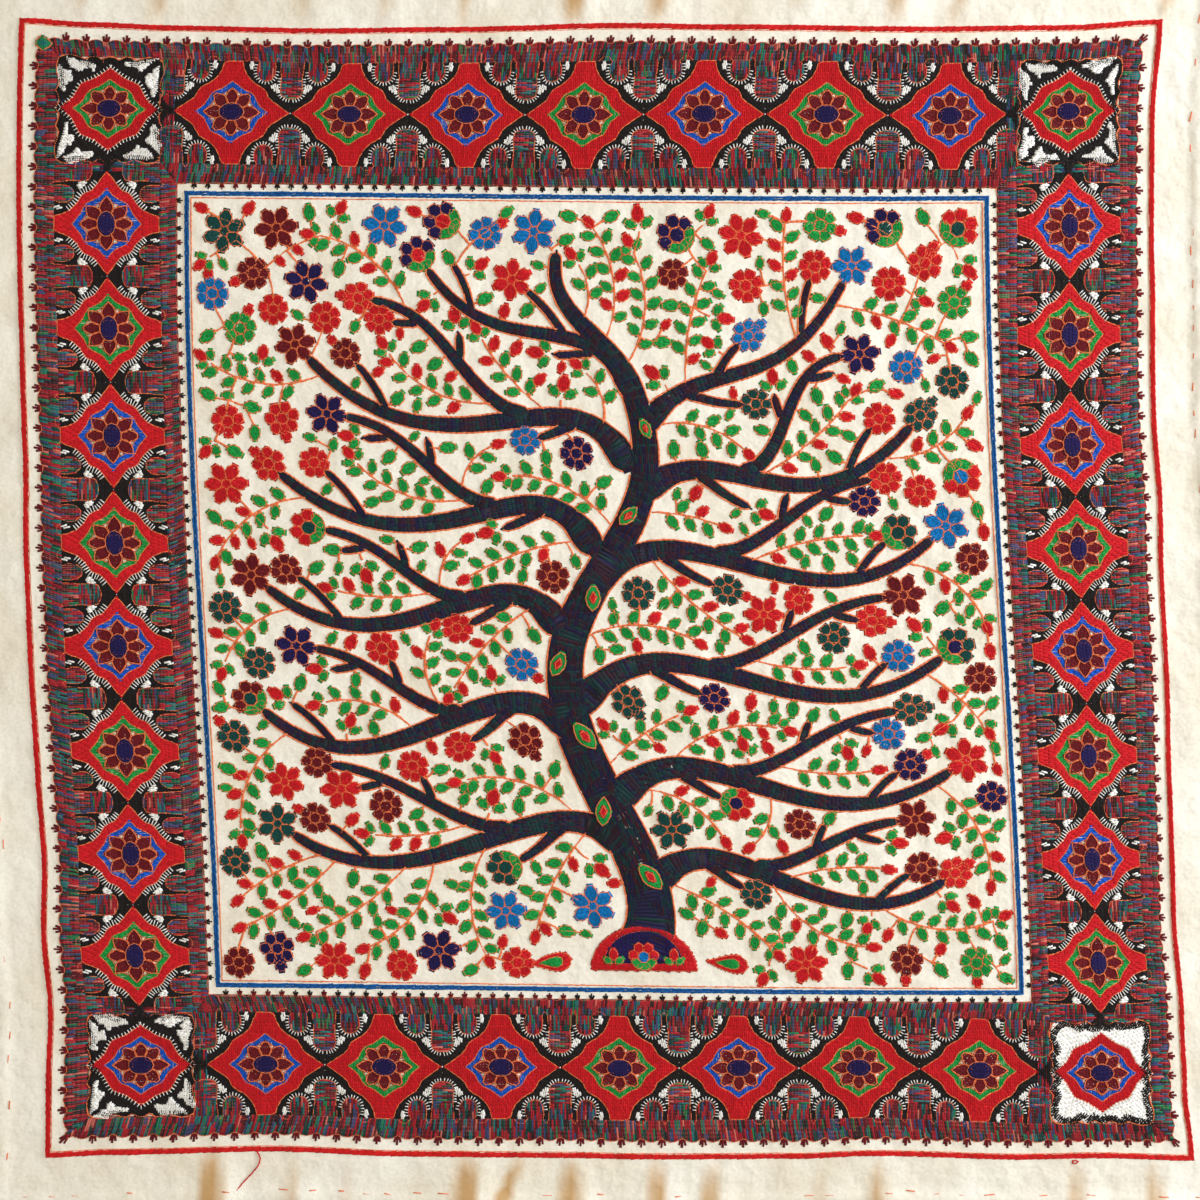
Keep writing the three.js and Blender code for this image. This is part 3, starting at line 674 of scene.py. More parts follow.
# how each kind of shape in the border is filled
fills = {
    "red": {"height": .9, "under": True},
    "ring": {"pitch": 1.4, "length": 6.5},
    "pale": {"pitch": 2.0, "length": 12, "width": 3.0, "height": .3, "level": .15},
    "petal": {"pitch": 1.6, "length": 8, "level": .25, "under": True},
    "heart": {"pitch": 1.45, "length": 8, "level": 1.0, "under": True},
    "black": {"pitch": 1.75, "length": 7, "height": .8, "under": True},
    "crossing": {"pitch": 1.3, "length": 4.5, "height": .8, "level": .7, "under": True},
    "white": {"pitch": 1.4, "length": 5, "height": 1.0, "level": .35},
    "ground": {"pitch": border["groundPitch"], "length": 9, "width": border["groundWidth"], "height": .85,
               "level": .2, "under": "groundUnder"},
    "gem": {"pitch": 1.5, "length": 20},
}


# a fill of parallel stitches at many places, over a low first layer crosswise where no cloth may show: that
# one belongs to the same piece, or to a piece named
def sewFill(name, rings, angle, places, turns, flips=1.0, colour=0, pitch=None, length=None, width=None,
            height=.75, level=0.0, under=False):
    pitch = pitch or border["pitch"]
    if under:
        own = under is True
        a, b, _ = fillRings(rings, angle + math.pi / 2, firstLayer["pitch"], firstLayer["length"])
        sewCopies(name if own else under, a, b, places, turns, flips, width=firstLayer["width"],
                  height=firstLayer["height"], colour=colour if own else 0,
                  level=level + firstLayer["ownLevel" if own else "sharedLevel"])
    a, b, _ = fillRings(rings, angle, pitch, length or border["stitch"])
    sewCopies(name, a, b, places, turns, flips, width=width or pitch * 1.42, height=height, colour=colour,
              level=level)


# star ring, eight petals and an oval heart, shared by the medallions and the corner stars
def sewRosette(places, turns, ringName, stretch):
    star = ringFromQuarter(border["starQuarter"]) * stretch
    inner = star * border["ringInner"]
    sewFill(ringName, [star, inner], math.pi / 2, places, turns, **fills["ring"])
    sewEdges("orangeOutlines", star, places, turns)
    sewEdges("orangeOutlines", inner, places, turns, width=.8)
    heart = oval(*border["heart"])
    sewFill("whiteGrounds", [inner * .96], 0, places, turns, **fills["pale"])
    for k in range(8):
        a = k * math.tau / 8
        tip = 1 / math.hypot(math.cos(a) / border["petalAlong"], math.sin(a) / border["petalAcross"])
        petal = turned(teardrop(border["petalRoot"], tip, border["petalHalfWidth"], .75), a) * stretch
        sewFill("medallionPetals", [petal], a, places, turns, **fills["petal"])
        sewEdges("orangeOutlines", petal * 1.01, places, turns, width=1.15, step=4.2, level=.55)
    sewFill("medallionHearts", [heart], math.pi / 2, places, turns, **fills["heart"])
    sewEdges("orangeOutlines", heart * 1.08, places, turns, width=1.0, step=4.2, level=.8)


# colours of the ground: a slow noise along the strip picks a leading colour, each stitch strays from it
groundPalette = ("crimson", "wine", "teal", "leafGreen", "slate", "soot", "darkGreen", "rose")
groundFamilies = ((0, 1, 5, 2, 7), (4, 0, 2, 5, 1), (0, 6, 2, 3, 1), (1, 5, 0, 4, 6), (0, 4, 1, 6, 7))


def groundColours(points, rng):
    x, y = points.T
    slow = np.sin(x * .21 + 1.7 * np.sin(y * .13)) + np.sin(y * .23 + x * .05)
    family = np.floor((slow + 2) / 4 * 4.999 + rng.normal(0, .55, len(points))).clip(0, 4).astype(int)
    pick = rng.choice(5, len(points), p=(.29, .24, .19, .16, .12))
    return np.array(groundFamilies)[family, pick]


# true for the points inside a ring: a ray to the right crosses it an odd number of times
def insideRing(points, ring):
    x, y = points[:, 0, None], points[:, 1, None]
    x0, y0 = ring.T
    x1, y1 = np.roll(ring, -1, 0).T
    with np.errstate(divide="ignore", invalid="ignore"):
        cross = ((y0 <= y) != (y1 <= y)) & (x < x0 + (y - y0) / (y1 - y0) * (x1 - x0))
    return cross.sum(1) % 2 == 1


# the corner's pale field: a squarish ring, rippled along its sides, with a pointed corner on each diagonal
def cornerField():
    t = np.arange(96) / 96 * math.tau
    power = border["fieldPower"]
    square = (np.abs(np.cos(t)) ** power + np.abs(np.sin(t)) ** power) ** (-1 / power)
    corner = np.exp(-((t % (math.pi / 2) - math.pi / 4) / .13) ** 2)
    ripple = border["fieldRipple"] * (.5 - .5 * np.cos(border["fieldRipples"] * t)) * (1 - corner)
    r = border["fieldHalf"] * square - ripple + border["fieldPoint"] * corner
    return np.stack([r * np.cos(t), r * np.sin(t)], 1)


# unit steps along a line of points
def directions(points):
    way = np.gradient(points, axis=0)
    return way / np.hypot(*way.T)[:, None]


# strokes across a path: its rows of (x, y, half width) are followed and crossed at an even pitch
def crossStrokes(path, pitch):
    rows = np.array(path, float)
    run = np.concatenate([[0], np.cumsum(np.hypot(*np.diff(rows[:, :2], axis=0).T))])
    at = np.linspace(0, run[-1], max(2, round(run[-1] / pitch)) + 1)
    x, y, half = [np.interp(at, run, column) for column in rows.T]
    middles = np.stack([x, y], 1)
    way = directions(middles)
    side = np.stack([-way[:, 1], way[:, 0]], 1) * half[:, None]
    return middles - side, middles + side


# the strokes of one bud of the outer and of the inner edge, and their widths
outerBud = np.array([((-1.5, -.2), (-2.3, 4.0)), ((1.5, -.2), (2.5, 3.8)), ((0, -.8), (.5, 6.0)),
                     ((-1.4, .8), (1.4, .8))])
outerBudWidths = (2.5, 2.5, 2.4, 2.6)
innerBud = np.array([((-.5, .6), (-1.6, -2.8)), ((.5, .6), (1.6, -2.8)), ((0, 0), (0, -4.4))])
innerBudWidths = (2.1, 2.1, 1.6)


# a bud of a few strokes at each place
def sewBuds(name, strokes, widths, places, turn, height, colour=0):
    sewCopies(name, strokes[:, 0], strokes[:, 1], places, turn, width=np.tile(widths, len(places)),
              height=height, colour=colour)


# one side's layout: the places of its medallions along it, and of the joints between them
def layOutSide(name, count, cornerStep, turn, rings, stretch):
    step = sideStep(count, cornerStep)
    at = (np.arange(count) - (count - 1) / 2) * step
    return {"name": name, "turn": turn, "rings": rings, "stretch": stretch, "step": step, "at": at,
            "joints": np.append(at - step / 2, at[-1] + step / 2),
            "quarter": np.array(border["bodyQuarter"]) * [step / 2, border["halfWidth"]]}


# places along a side, at a distance out from the plan's middle
def placesOn(side, at, out):
    at = np.asarray(at, float)
    return np.stack([at, np.broadcast_to(out, at.shape)], 1) @ rotation(side["turn"])


# a side's red medallions, each with a rosette
def sewMedallions(side):
    places = placesOn(side, side["at"], rowHalf)
    turns = np.full(len(places), math.radians(side["turn"]))
    body = ringFromQuarter(side["quarter"])
    star = ringFromQuarter(border["starQuarter"]) * side["stretch"]
    sewFill("medallionRed", [body, star], math.pi / 2, places, turns, **fills["red"])
    sewEdges("orangeOutlines", body, places, turns)
    for letter, ringName in ringNames.items():
        mine = [k for k, own in enumerate(side["rings"]) if own == letter]
        sewRosette(places[mine], turns[mine], ringName, side["stretch"])


# white ticks over the black: all across it on the long sides, a fringe round the fingers and lobes elsewhere
def bracketRungs(side, profile):
    if side["turn"] % 180 == 90:
        reach = border["rungReach"]
        middle = profile[1:-2] + [-.6 - reach / 2, .5 + reach / 2]
        return [np.column_stack([middle, np.full(len(middle), reach)])]
    rungs = []
    for rim, out in ((border["fingerRim"], border["fringeOut"]), (border["lobeRim"], -border["fringeOut"])):
        way = directions(np.array(rim))
        outset = rim + np.stack([-way[:, 1], way[:, 0]], 1) * out
        rungs.append(np.column_stack([outset, np.full(len(rim), 1.0)]))
    return rungs


# the brackets between neighbours on one side of the row, in halves: black, with ground fingers and lobes,
# pale gaps and ticks
def sewBrackets(side, outward):
    step, joints = side["step"], side["joints"]
    last = len(joints) - 1
    halves = [(k, flip) for k in range(last + 1) for flip in (1, -1) if (k, flip) not in ((0, -1), (last, 1))]
    about = math.radians(side["turn"]) + (0 if outward == 1 else math.pi)
    where = placesOn(side, [joints[k] for k, _ in halves], rowHalf)
    turns = np.full(len(halves), about)
    flips = [flip * outward for _, flip in halves]
    profile = np.stack([step / 2 - side["quarter"][:, 0], side["quarter"][:, 1]], 1)[::-1]
    finger = np.array(border["finger"], float)
    lobe = np.array(border["lobe"], float) * [step / border["lobeStep"], 1]
    halfCell = np.concatenate([[[0, 1.2]], profile + [[-.2, .3]], [[0, 43]]])
    fingerHalf = np.concatenate([finger, [[0, 43.2]]])
    sewFill("bracketBlacks", [halfCell, lobe, fingerHalf], math.radians(45), where, turns, flips,
            **fills["black"])
    for gap in border["whiteGaps"]:
        ring = np.array(gap) * [step / border["gapStep"], 1]
        sewFill("bracketWhites", [ring], math.radians(75), where, turns, flips, **fills["white"])
    for path in bracketRungs(side, profile):
        a, b = crossStrokes(path, border["rungPitch"])
        sewCopies("bracketWhites", a, b, where, turns, flips, width=1.15, height=.95, level=.3)
    sewFill("groundLobes", [lobe], math.pi / 2, where, turns, flips, **fills["ground"])
    for line in (lobe, *border["tops"]):
        sewEdges("orangeOutlines", line, where, turns, closed=False, flips=flips)

    middles = placesOn(side, joints, rowHalf)
    turns = np.full(len(joints), about)
    split = border["fingerSplit"]
    for part, angle in ((finger[:split], 0), (finger[split - 1:], math.pi / 2)):
        ring = np.concatenate([part, part[::-1] * [-1, 1]])
        sewFill("groundFingers", [ring], angle, middles, turns, **fills["ground"])
    outline = np.concatenate([finger[::-1] * [-1, 1], finger[1:]])
    sewEdges("orangeOutlines", outline, middles, turns, closed=False)


# black crossings between the corner fields and the end medallions
def sewCrossings(side):
    where = placesOn(side, side["joints"][[0, -1]], rowHalf)
    turns = np.full(2, math.radians(side["turn"]))
    sewFill("bracketBlacks", [np.array(border["crossing"])], math.pi / 2, where, turns, [1, -1],
            **fills["crossing"])


# the outer edge's scallops: how far it draws in, the depth less a rectified sine
def scallopAt(u):
    return border["scallopDepth"] * (1 - np.abs(np.sin(math.pi * u / border["scallop"])))


# ground: strips along both edges of the band, mitred at the corners, and all round the corner fields
def sewGround(side, rng):
    u = np.arange(-rowHalf - outerEdge, rowHalf + outerEdge, border["groundPitch"])
    corner = cornerField() * 1.02
    for low, high in ((stripEdge, outerEdge), (-innerEdge, -stripEdge), (-stripEdge, stripEdge)):
        rows = max(2, round((high - low) / border["groundStitch"]))
        uneven = np.arange(rows + 1)[:, None] + rng.uniform(-.35, .35, (rows + 1, len(u)))
        cuts = low + uneven * (high - low) / rows
        cuts[0], cuts[-1] = low, high
        cuts = np.clip(cuts, np.abs(u) - rowHalf, outerEdge - scallopAt(u))
        for v0, v1 in zip(cuts[:-1], cuts[1:]):
            keep = v1 - v0 > 1.0
            if high == stripEdge:
                local = np.stack([np.abs(u) - rowHalf, (v0 + v1) / 2], 1)
                keep &= (np.abs(u) > side["joints"][-1] - 1) & ~insideRing(local, corner)
            a, b = [placesOn(side, u[keep], v[keep] + rowHalf) for v in (v0, v1)]
            sew("ground" + side["name"].capitalize(), a, b, border["groundWidth"], .85,
                groundColours((a + b) / 2, rng), .2)
    # a low first layer under it, along the strips
    for low, high in ((stripEdge, outerEdge - border["scallopDepth"]), (-innerEdge, -stripEdge)):
        v = rowHalf + np.arange(low + .7, high, border["underPitch"])
        whole = [(-rowHalf - outerEdge, 0), (rowHalf + outerEdge, 0)]
        ends = chain(whole, border["underStitch"], closed=False)
        a, b = [np.stack(np.broadcast_arrays(part[:, 0], v[:, None]), -1).reshape(-1, 2) for part in ends]
        reach = a[:, 1]
        a[:, 0], b[:, 0] = a[:, 0].clip(-reach, reach), b[:, 0].clip(-reach, reach)
        keep = b[:, 0] - a[:, 0] > 2
        sew("groundUnder", a[keep] @ rotation(side["turn"]), b[keep] @ rotation(side["turn"]), 3.3, .1, 0, .3)


# the band's outer edge: a scalloped orange line and its buds
def sewOuterEdge(side):
    edge = rowHalf + outerEdge
    fine = np.arange(1 - edge, edge, 2.0)
    a, b = chain(np.stack([fine, edge - scallopAt(fine) + .3], 1), 3.6, closed=False)
    sew("orangeOutlines", a @ rotation(side["turn"]), b @ rotation(side["turn"]), .8, .8)
    count = int(edge / border["scallop"])
    at = np.arange(-count, count + 1) * border["scallop"]
    places = placesOn(side, at[np.abs(at) < edge - 9], edge - 1.2)
    sewBuds("outerBuds", outerBud, outerBudWidths, places, math.radians(side["turn"]), 1.0)


# the band's inner edge: a scalloped orange line and small dark buds that point to the field
def sewInnerEdge(side, rng):
    edge = rowHalf - innerEdge
    fine = np.arange(-edge, edge, 1.6)
    wave = np.abs(np.sin(math.pi * (fine / border["innerBud"] - .5)))
    a, b = chain(np.stack([fine, edge + 1.6 - 2.6 * wave], 1), 3.2, closed=False)
    sew("orangeOutlines", a @ rotation(side["turn"]), b @ rotation(side["turn"]), .8, .8)
    count = int((edge - 4) / border["innerBud"])
    at = np.arange(-count, count + 1) * border["innerBud"]
    colours = np.repeat(rng.integers(0, 2, len(at)), len(innerBud))
    places = placesOn(side, at, edge - .6)
    sewBuds("innerBuds", innerBud, innerBudWidths, places, math.radians(side["turn"]), .9, colours)


# the band, side by side
def sewBorder():
    rng = np.random.default_rng(border["seed"])
    for row in border["sides"]:
        side = layOutSide(*row)
        sewMedallions(side)
        sewBrackets(side, 1)
        sewBrackets(side, -1)
        sewCrossings(side)
        sewGround(side, rng)
        sewOuterEdge(side)
        sewInnerEdge(side, rng)


# a corner's black rim, drawn in and out at random, and the pale wings inside it
def sewCornerField(field, place, allWhite, rng):
    rim = field * (1 + .035 * rng.normal(0, 1, (len(field), 1))) * (.95 if allWhite else .97)
    edge = np.column_stack([rim, np.full(len(field), 2.6 if allWhite else 2.0)])
    a, b = crossStrokes(np.concatenate([edge, edge[:1]]), 1.5)
    sew("bracketBlacks", a + place, b + place, 2.1, 1.0, 0, .3)
    wing = np.array(border["wing"])
    for quarter in range(0 if allWhite else 4):
        for patch in (wing, wing[:, ::-1]):
            angle = math.pi / 2 * quarter
            patch = turned(patch * [1.0, 1.04] + rng.normal(0, 1.3, wing.shape), angle)
            sewFill("bracketWhites", [patch], angle, place, 0.0, **{**fills["white"], "under": True})


# on the band's own corner: a small squared knot on the first, a slanting bud on the others
def sewBandCorner(place, turn, knotted):
    if knotted:
        gem = oval(6.2, 6.2, 4)
        far = place * ((rowHalf + outerEdge - 5) / rowHalf)
        sewFill("gems", [gem], 0.0, far, 0.0, level=.9, under=True, **fills["gem"])
        sewFill("gems", [gem * .5], math.pi / 2, far, 0.0, colour=1, level=1.3, **fills["gem"])
        sewEdges("orangeOutlines", gem * 1.12, far, 0.0, level=.7)
    else:
        far = place * ((rowHalf + outerEdge - 1.5) / rowHalf)
        sewBuds("outerBuds", outerBud, outerBudWidths, far, math.radians(turn + 45), 1.0)


# the corner squares: a larger star with its rosette, and the field round it
def sewCorners():
    field = cornerField()
    star = ringFromQuarter(border["starQuarter"]) * border["cornerStretch"]
    big = star * border["cornerStar"]
    rng = np.random.default_rng(border["seed"] + 2)
    for k, (_, _, _, turn, _, _) in enumerate(border["sides"]):
        place = np.array([[-rowHalf, rowHalf]]) @ rotation(turn)
        sewFill("medallionRed", [big, star], math.pi / 2, place, 0.0, **fills["red"])
        sewEdges("orangeOutlines", big, place, 0.0)
        sewRosette(place, np.zeros(1), ringNames[border["cornerColours"][k]], border["cornerStretch"])
        allWhite = k == border["whiteCorner"]
        sewFill("bracketWhites" if allWhite else "bracketBlacks", [field, big], math.pi / 4, place, 0.0,
                **fills["black"])
        sewCornerField(field, place, allWhite, rng)
        rungs = np.column_stack([big * 1.04, np.full(len(big), 1.2)])
        a, b = crossStrokes(np.concatenate([rungs, rungs[:1]]), 3.0)
        sew("bracketWhites", a + place, b + place, 1.1, .95, 0, .3)
        sewEdges("orangeOutlines", field * 1.03, place, 0.0, level=.3)
        sewBandCorner(place, turn, k == 0)


lineRows = {
    "outerOffsets": (-1.15, 0.0, 1.15), "outerStep": 6.0, "outerWidth": 2.2,
    "innerOffsets": (-.9, .9), "innerStep": 6.0, "innerWidth": 2.4,
}


# a chain of stitches round a square, with one end at each corner
def squareChain(half, step):
    corners = np.array([(-half, half), (half, half), (half, -half), (-half, -half), (-half, half)], float)
    sides = [chain(corners[k:k + 2], step, closed=False) for k in range(4)]
    return [np.concatenate(part) for part in zip(*sides)]


# the red line round the band and the blue one round the field: slanting chains side by side, and a thin
# orange chain inside them
def sewLines():
    for offset in lineRows["outerOffsets"]:
        a, b = squareChain(plan["lineHalf"] + offset, lineRows["outerStep"])
        way = (b - a) / lineRows["outerStep"]
        slant = np.stack([-way[:, 1], way[:, 0]], 1) * .25
        sew("outerLine", a - way * .8 - slant, b + way * .8 + slant, lineRows["outerWidth"], 1.15, 0)
    a, b = squareChain(plan["lineHalf"] - 2.7, 5.5)
    sew("outerLine", a, b, .8, .7, 1)
    depthHalf = plan["lineHalf"] - plan["innerLine"]
    for offset in lineRows["innerOffsets"]:
        a, b = squareChain(depthHalf + offset, lineRows["innerStep"])
        way = (b - a) / lineRows["innerStep"]
        slant = np.stack([-way[:, 1], way[:, 0]], 1) * .2
        sew("innerLine", a - way * .6 - slant, b + way * .6 + slant, lineRows["innerWidth"], 1.1, 0)
    a, b = squareChain(depthHalf - 3.6, 4.6)
    sew("innerLine", a, b, 1.2, .8, 1)


field = {
    "half": 315.0,
    # from, two bends, to, width at the root and at the end; the three of the trunk come first
    "limbs": (
        ((20, -286), (56, -212), (-58, -130), (-24, -30), 36, 27),
        ((-24, -30), (4, 40), (66, 74), (36, 166), 27, 18),
        ((36, 166), (22, 212), (-34, 224), (-22, 276), 18, 8),
        ((12, -206), (-48, -128), (-150, -272), (-256, -196), 19, 7),
        ((-24, -112), (-86, -26), (-176, -190), (-274, -96), 20, 7),
        ((-30, -30), (-74, 62), (-160, -86), (-266, 4), 19, 7),
        ((0, 36), (-44, 138), (-130, -10), (-250, 96), 18, 7),
        ((30, 104), (-10, 206), (-116, 70), (-224, 190), 17, 7),
        ((36, 160), (10, 246), (-70, 176), (-126, 262), 13, 6),
        ((28, -236), (86, -156), (164, -296), (262, -226), 19, 7),
        ((2, -168), (72, -76), (150, -222), (272, -136), 20, 7),
        ((-24, -92), (60, 18), (150, -140), (270, -44), 19, 7),
        ((-8, 4), (70, 104), (160, -46), (268, 52), 18, 7),
        ((36, 82), (104, 150), (160, 34), (256, 142), 17, 7),
        ((42, 134), (84, 204), (150, 150), (206, 256), 14, 6),
    ),
    # where the fork of each limb ends, for the limbs that have one
    "forks": {3: (-222, -140), 4: (-230, -46), 5: (-216, 50), 6: (-196, 142), 7: (-172, 236),
              9: (228, -178), 10: (232, -88), 11: (228, 4), 12: (222, 98), 13: (204, 196)},
    "forkShare": .4, "forkWide": (11, 6),
    "twigs": ((.24, -1), (.4, 1), (.8, 1)),      # share of the limb's length, upper side or lower
    "thorns": ((.46, 1), (.74, -1)),             # the same, on a fork
    "twigAngle": 50.0, "twigLength": 44.0, "twigEnd": 5.0, "twigWidth": .6,
    "thornAngle": 52.0, "thornLength": 24.0, "thornWidth": 6.0,
    "woodPitch": 1.5, "woodStitch": 7.5,
    "flare": .3,
    "outlineWidth": 1.9, "stemWidth": 2.3, "stemStep": 4.2, "petalOutline": 1.25,
    "petalStep": 5.2, "leafStep": 7.6,
    # share of the trunk's length, share of its half width to one side, turn and scale
    "patches": ((.1, -.3, 25, 1.0), (.2, .45, -30, .9), (.3, -.4, 20, 1.0), (.4, .4, -20, .85),
                (.5, -.35, 25, .85), (.62, .3, -20, .75), (.74, -.2, 15, .65)),
    "roomStep": 3.0,
    "seed": 8,
}
flowerPalette = ("red", "maroon", "navy", "flowerBlue", "darkGreen", "green")


# a Bernstein curve through its control points, laid out evenly
def bezier(controls, spacing):
    c = np.array(controls, float)
    t = np.linspace(0, 1, 60)[:, None]
    degree = len(c) - 1
    curve = sum(math.comb(degree, k) * t ** k * (1 - t) ** (degree - k) * c[k] for k in range(degree + 1))
    run = np.concatenate([[0], np.cumsum(np.hypot(*np.diff(curve, axis=0).T))])
    at = np.linspace(0, run[-1], max(3, round(run[-1] / spacing)) + 1)
    return np.stack([np.interp(at, run, curve[:, 0]), np.interp(at, run, curve[:, 1])], 1), at


# the point a share along a curve, by halving its controls' gaps in that share, and the way it heads there
def alongCurve(controls, share):
    p = [np.array(c, float) for c in controls]
    while len(p) > 2:
        p = [p[i] * (1 - share) + p[i + 1] * share for i in range(len(p) - 1)]
    return p[0] * (1 - share) + p[1] * share, (p[1] - p[0]) / np.hypot(*(p[1] - p[0]))


# every limb, fork and twig as a path with a half width: linear, swollen by a bell where it leaves its
# parent, and drawn in at both ends as a power
def growWood():
    wood = []
    limbs = field["limbs"]

    def grow(controls, wide, leave):
        points, at = bezier(controls, 1.5)
        half = np.interp(at, [0, at[-1]], np.array(wide) / 2)
        half *= 1 + field["flare"] * np.exp(-((at - leave) / (.8 * leave)) ** 2)
        half *= np.minimum((at + 2) / 9, 1) ** .5 * np.minimum((at[-1] - at) / (wide[1] * .9) + .05, 1) ** .5
        wood.append({"points": points, "at": at, "half": half, "way": directions(points), "trunk": False})

    def twig(root, ahead, angle, length, wide):
        heading = turned(ahead, math.radians(angle))
        bend = root + heading * .55 * length
        leaving = (heading + ahead) / np.hypot(*(heading + ahead))
        grow((root, bend, bend + leaving * .45 * length), (wide, field["twigEnd"]), .7 * wide)

    trunk = [bezier(row[:4], 1.5)[0] for row in limbs[:3]]
    points = np.concatenate([trunk[0], trunk[1][1:], trunk[2][1:]])
    at = np.concatenate([[0], np.cumsum(np.hypot(*np.diff(points, axis=0).T))])
    ends = at[np.cumsum([0] + [len(part) - 1 for part in trunk])]
    half = np.interp(at, ends, [limbs[0][4] / 2, limbs[1][4] / 2, limbs[2][4] / 2, limbs[2][5] / 2])
    half *= 1 + .3 * np.exp(-at / 18)
    half *= np.sqrt(1 - (1 - np.minimum((at[-1] - at) / 6, 1)) ** 2) * .96 + .04
    wood.append({"points": points, "at": at, "half": half, "way": directions(points), "trunk": True})

    for k, (*controls, rootWide, endWide) in enumerate(limbs[3:], 3):
        grow(controls, (rootWide, endWide), 17)
        right = 1 if controls[3][0] > 0 else -1
        for j, (share, upper) in enumerate(field["twigs"]):
            root, ahead = alongCurve(controls, share)
            if share == field["forkShare"] and k in field["forks"]:
                end = np.array(field["forks"][k], float)
                far = np.hypot(*(end - root))
                fork = (root, root + (ahead + [0, .35]) * .38 * far,
                        end - np.array([right, .12]) * .42 * far, end)
                grow(fork, field["forkWide"], 9)
                for thornShare, thornUpper in field["thorns"]:
                    twig(*alongCurve(fork, thornShare), field["thornAngle"] * right * thornUpper,
                         field["thornLength"], field["thornWidth"])
                continue
            length = field["twigLength"] + 8 * math.sin(2.3 * (k * 3 + j))
            wide = field["twigWidth"] * (rootWide + (endWide - rootWide) * share)
            twig(root, ahead, field["twigAngle"] * right * upper, length, wide)
    return wood


# true where a point is deeper than a given depth inside any path of the wood listed
def insideWood(points, wood, depth):
    hidden = np.zeros(len(points), bool)
    for path in wood:
        low, high = path["points"].min(0) - 30, path["points"].max(0) + 30
        near = np.flatnonzero(((points > low) & (points < high)).all(1) & ~hidden)
        if len(near):
            away = points[near, None] - path["points"][None]
            inside = (np.hypot(away[..., 0], away[..., 1]) < path["half"] - depth).any(1)
            hidden[near[inside]] = True
    return hidden


# the wood: a coarse layer across each path, rows of long stitches that run with it over that, and an
# outline down both its flanks
def sewWood(wood):
    rng = np.random.default_rng(field["seed"] + 1)
    for k, path in enumerate(wood):
        normal = np.stack([-path["way"][:, 1], path["way"][:, 0]], 1)
        a, b = crossStrokes(np.column_stack([path["points"], path["half"] - .4]), 3.2)
        sew("wood", a, b, 4.2, .1, rng.integers(0, 3, len(a)), .5)
        rows = math.ceil(2 * path["half"].max() / field["woodPitch"])
        starts, ends = [], []
        for j in range(rows):
            offset = (j - (rows - 1) / 2) * field["woodPitch"]
            wide = np.flatnonzero(path["half"] > abs(offset) + .3)
            for span in np.split(wide, np.flatnonzero(np.diff(wide) > 1) + 1):
                if len(span) < 2:
                    continue
                low, high = path["at"][span[0]], path["at"][span[-1]]
                cuts = low + field["woodStitch"] * (np.arange(1, 400) - rng.uniform(0, .9))
                cuts = np.concatenate([[low], cuts[(cuts > low + 2) & (cuts < high - 2)], [high]])
                line = path["points"] + normal * offset
                at = np.stack([np.interp(cuts, path["at"], column) for column in line.T], 1)
                starts.append(at[:-1])
                ends.append(at[1:])
        starts, ends = np.concatenate(starts), np.concatenate(ends)
        middles = (starts + ends) / 2
        keep = ~insideWood(middles, wood[:k], 3.0)
        starts, ends, middles = starts[keep], ends[keep], middles[keep]
        tint = np.sin(middles[:, 0] * .11 + 2 * np.sin(middles[:, 1] * .07)) + rng.normal(0, .9, len(middles))
        colour = np.digitize(tint, (-.9, .1, 1.0)).astype(float)
        sew("wood", starts, ends, field["woodPitch"] * 1.5, .9, colour)
        for side in (1, -1):
            flank = path["points"] + normal * (path["half"] + .6)[:, None] * side
            a, b = chain(flank, 4.2, closed=False)
            others = [other for other in wood if other is not path]
            keep = ~insideWood((a + b) / 2, others, .3)
            sew("fieldOutlines", a[keep], b[keep], field["outlineWidth"], .9)


# green leaf patches with a red heart, sewn over the trunk
def sewPatches(trunk):
    leaf = teardrop(-12, 13, 6.4, .9, 12)
    for share, offset, turn, scale in field["patches"]:
        i = int(share * (len(trunk["at"]) - 1))
        way = trunk["way"][i]
        at = trunk["points"][i] + np.array([-way[1], way[0]]) * offset * trunk["half"][i]
        heading = math.atan2(way[1], way[0]) + math.radians(turn)
        for size, colour, lift in ((scale, 5, .9), (scale * .42, 0, 1.5)):
            spot, angle = at[None], np.array([heading])
            sewFill("flowers", [leaf * size], math.radians(70), spot, angle, colour=colour, height=.7,
                    level=lift, under=True)
            sewEdges("fieldOutlines", leaf * size * 1.05, spot, angle, width=field["petalOutline"],
                     level=lift)


def moved(ring, x=0.0, y=0.0, degrees=0.0):
    return turned(ring, math.radians(degrees)) + [x, y]


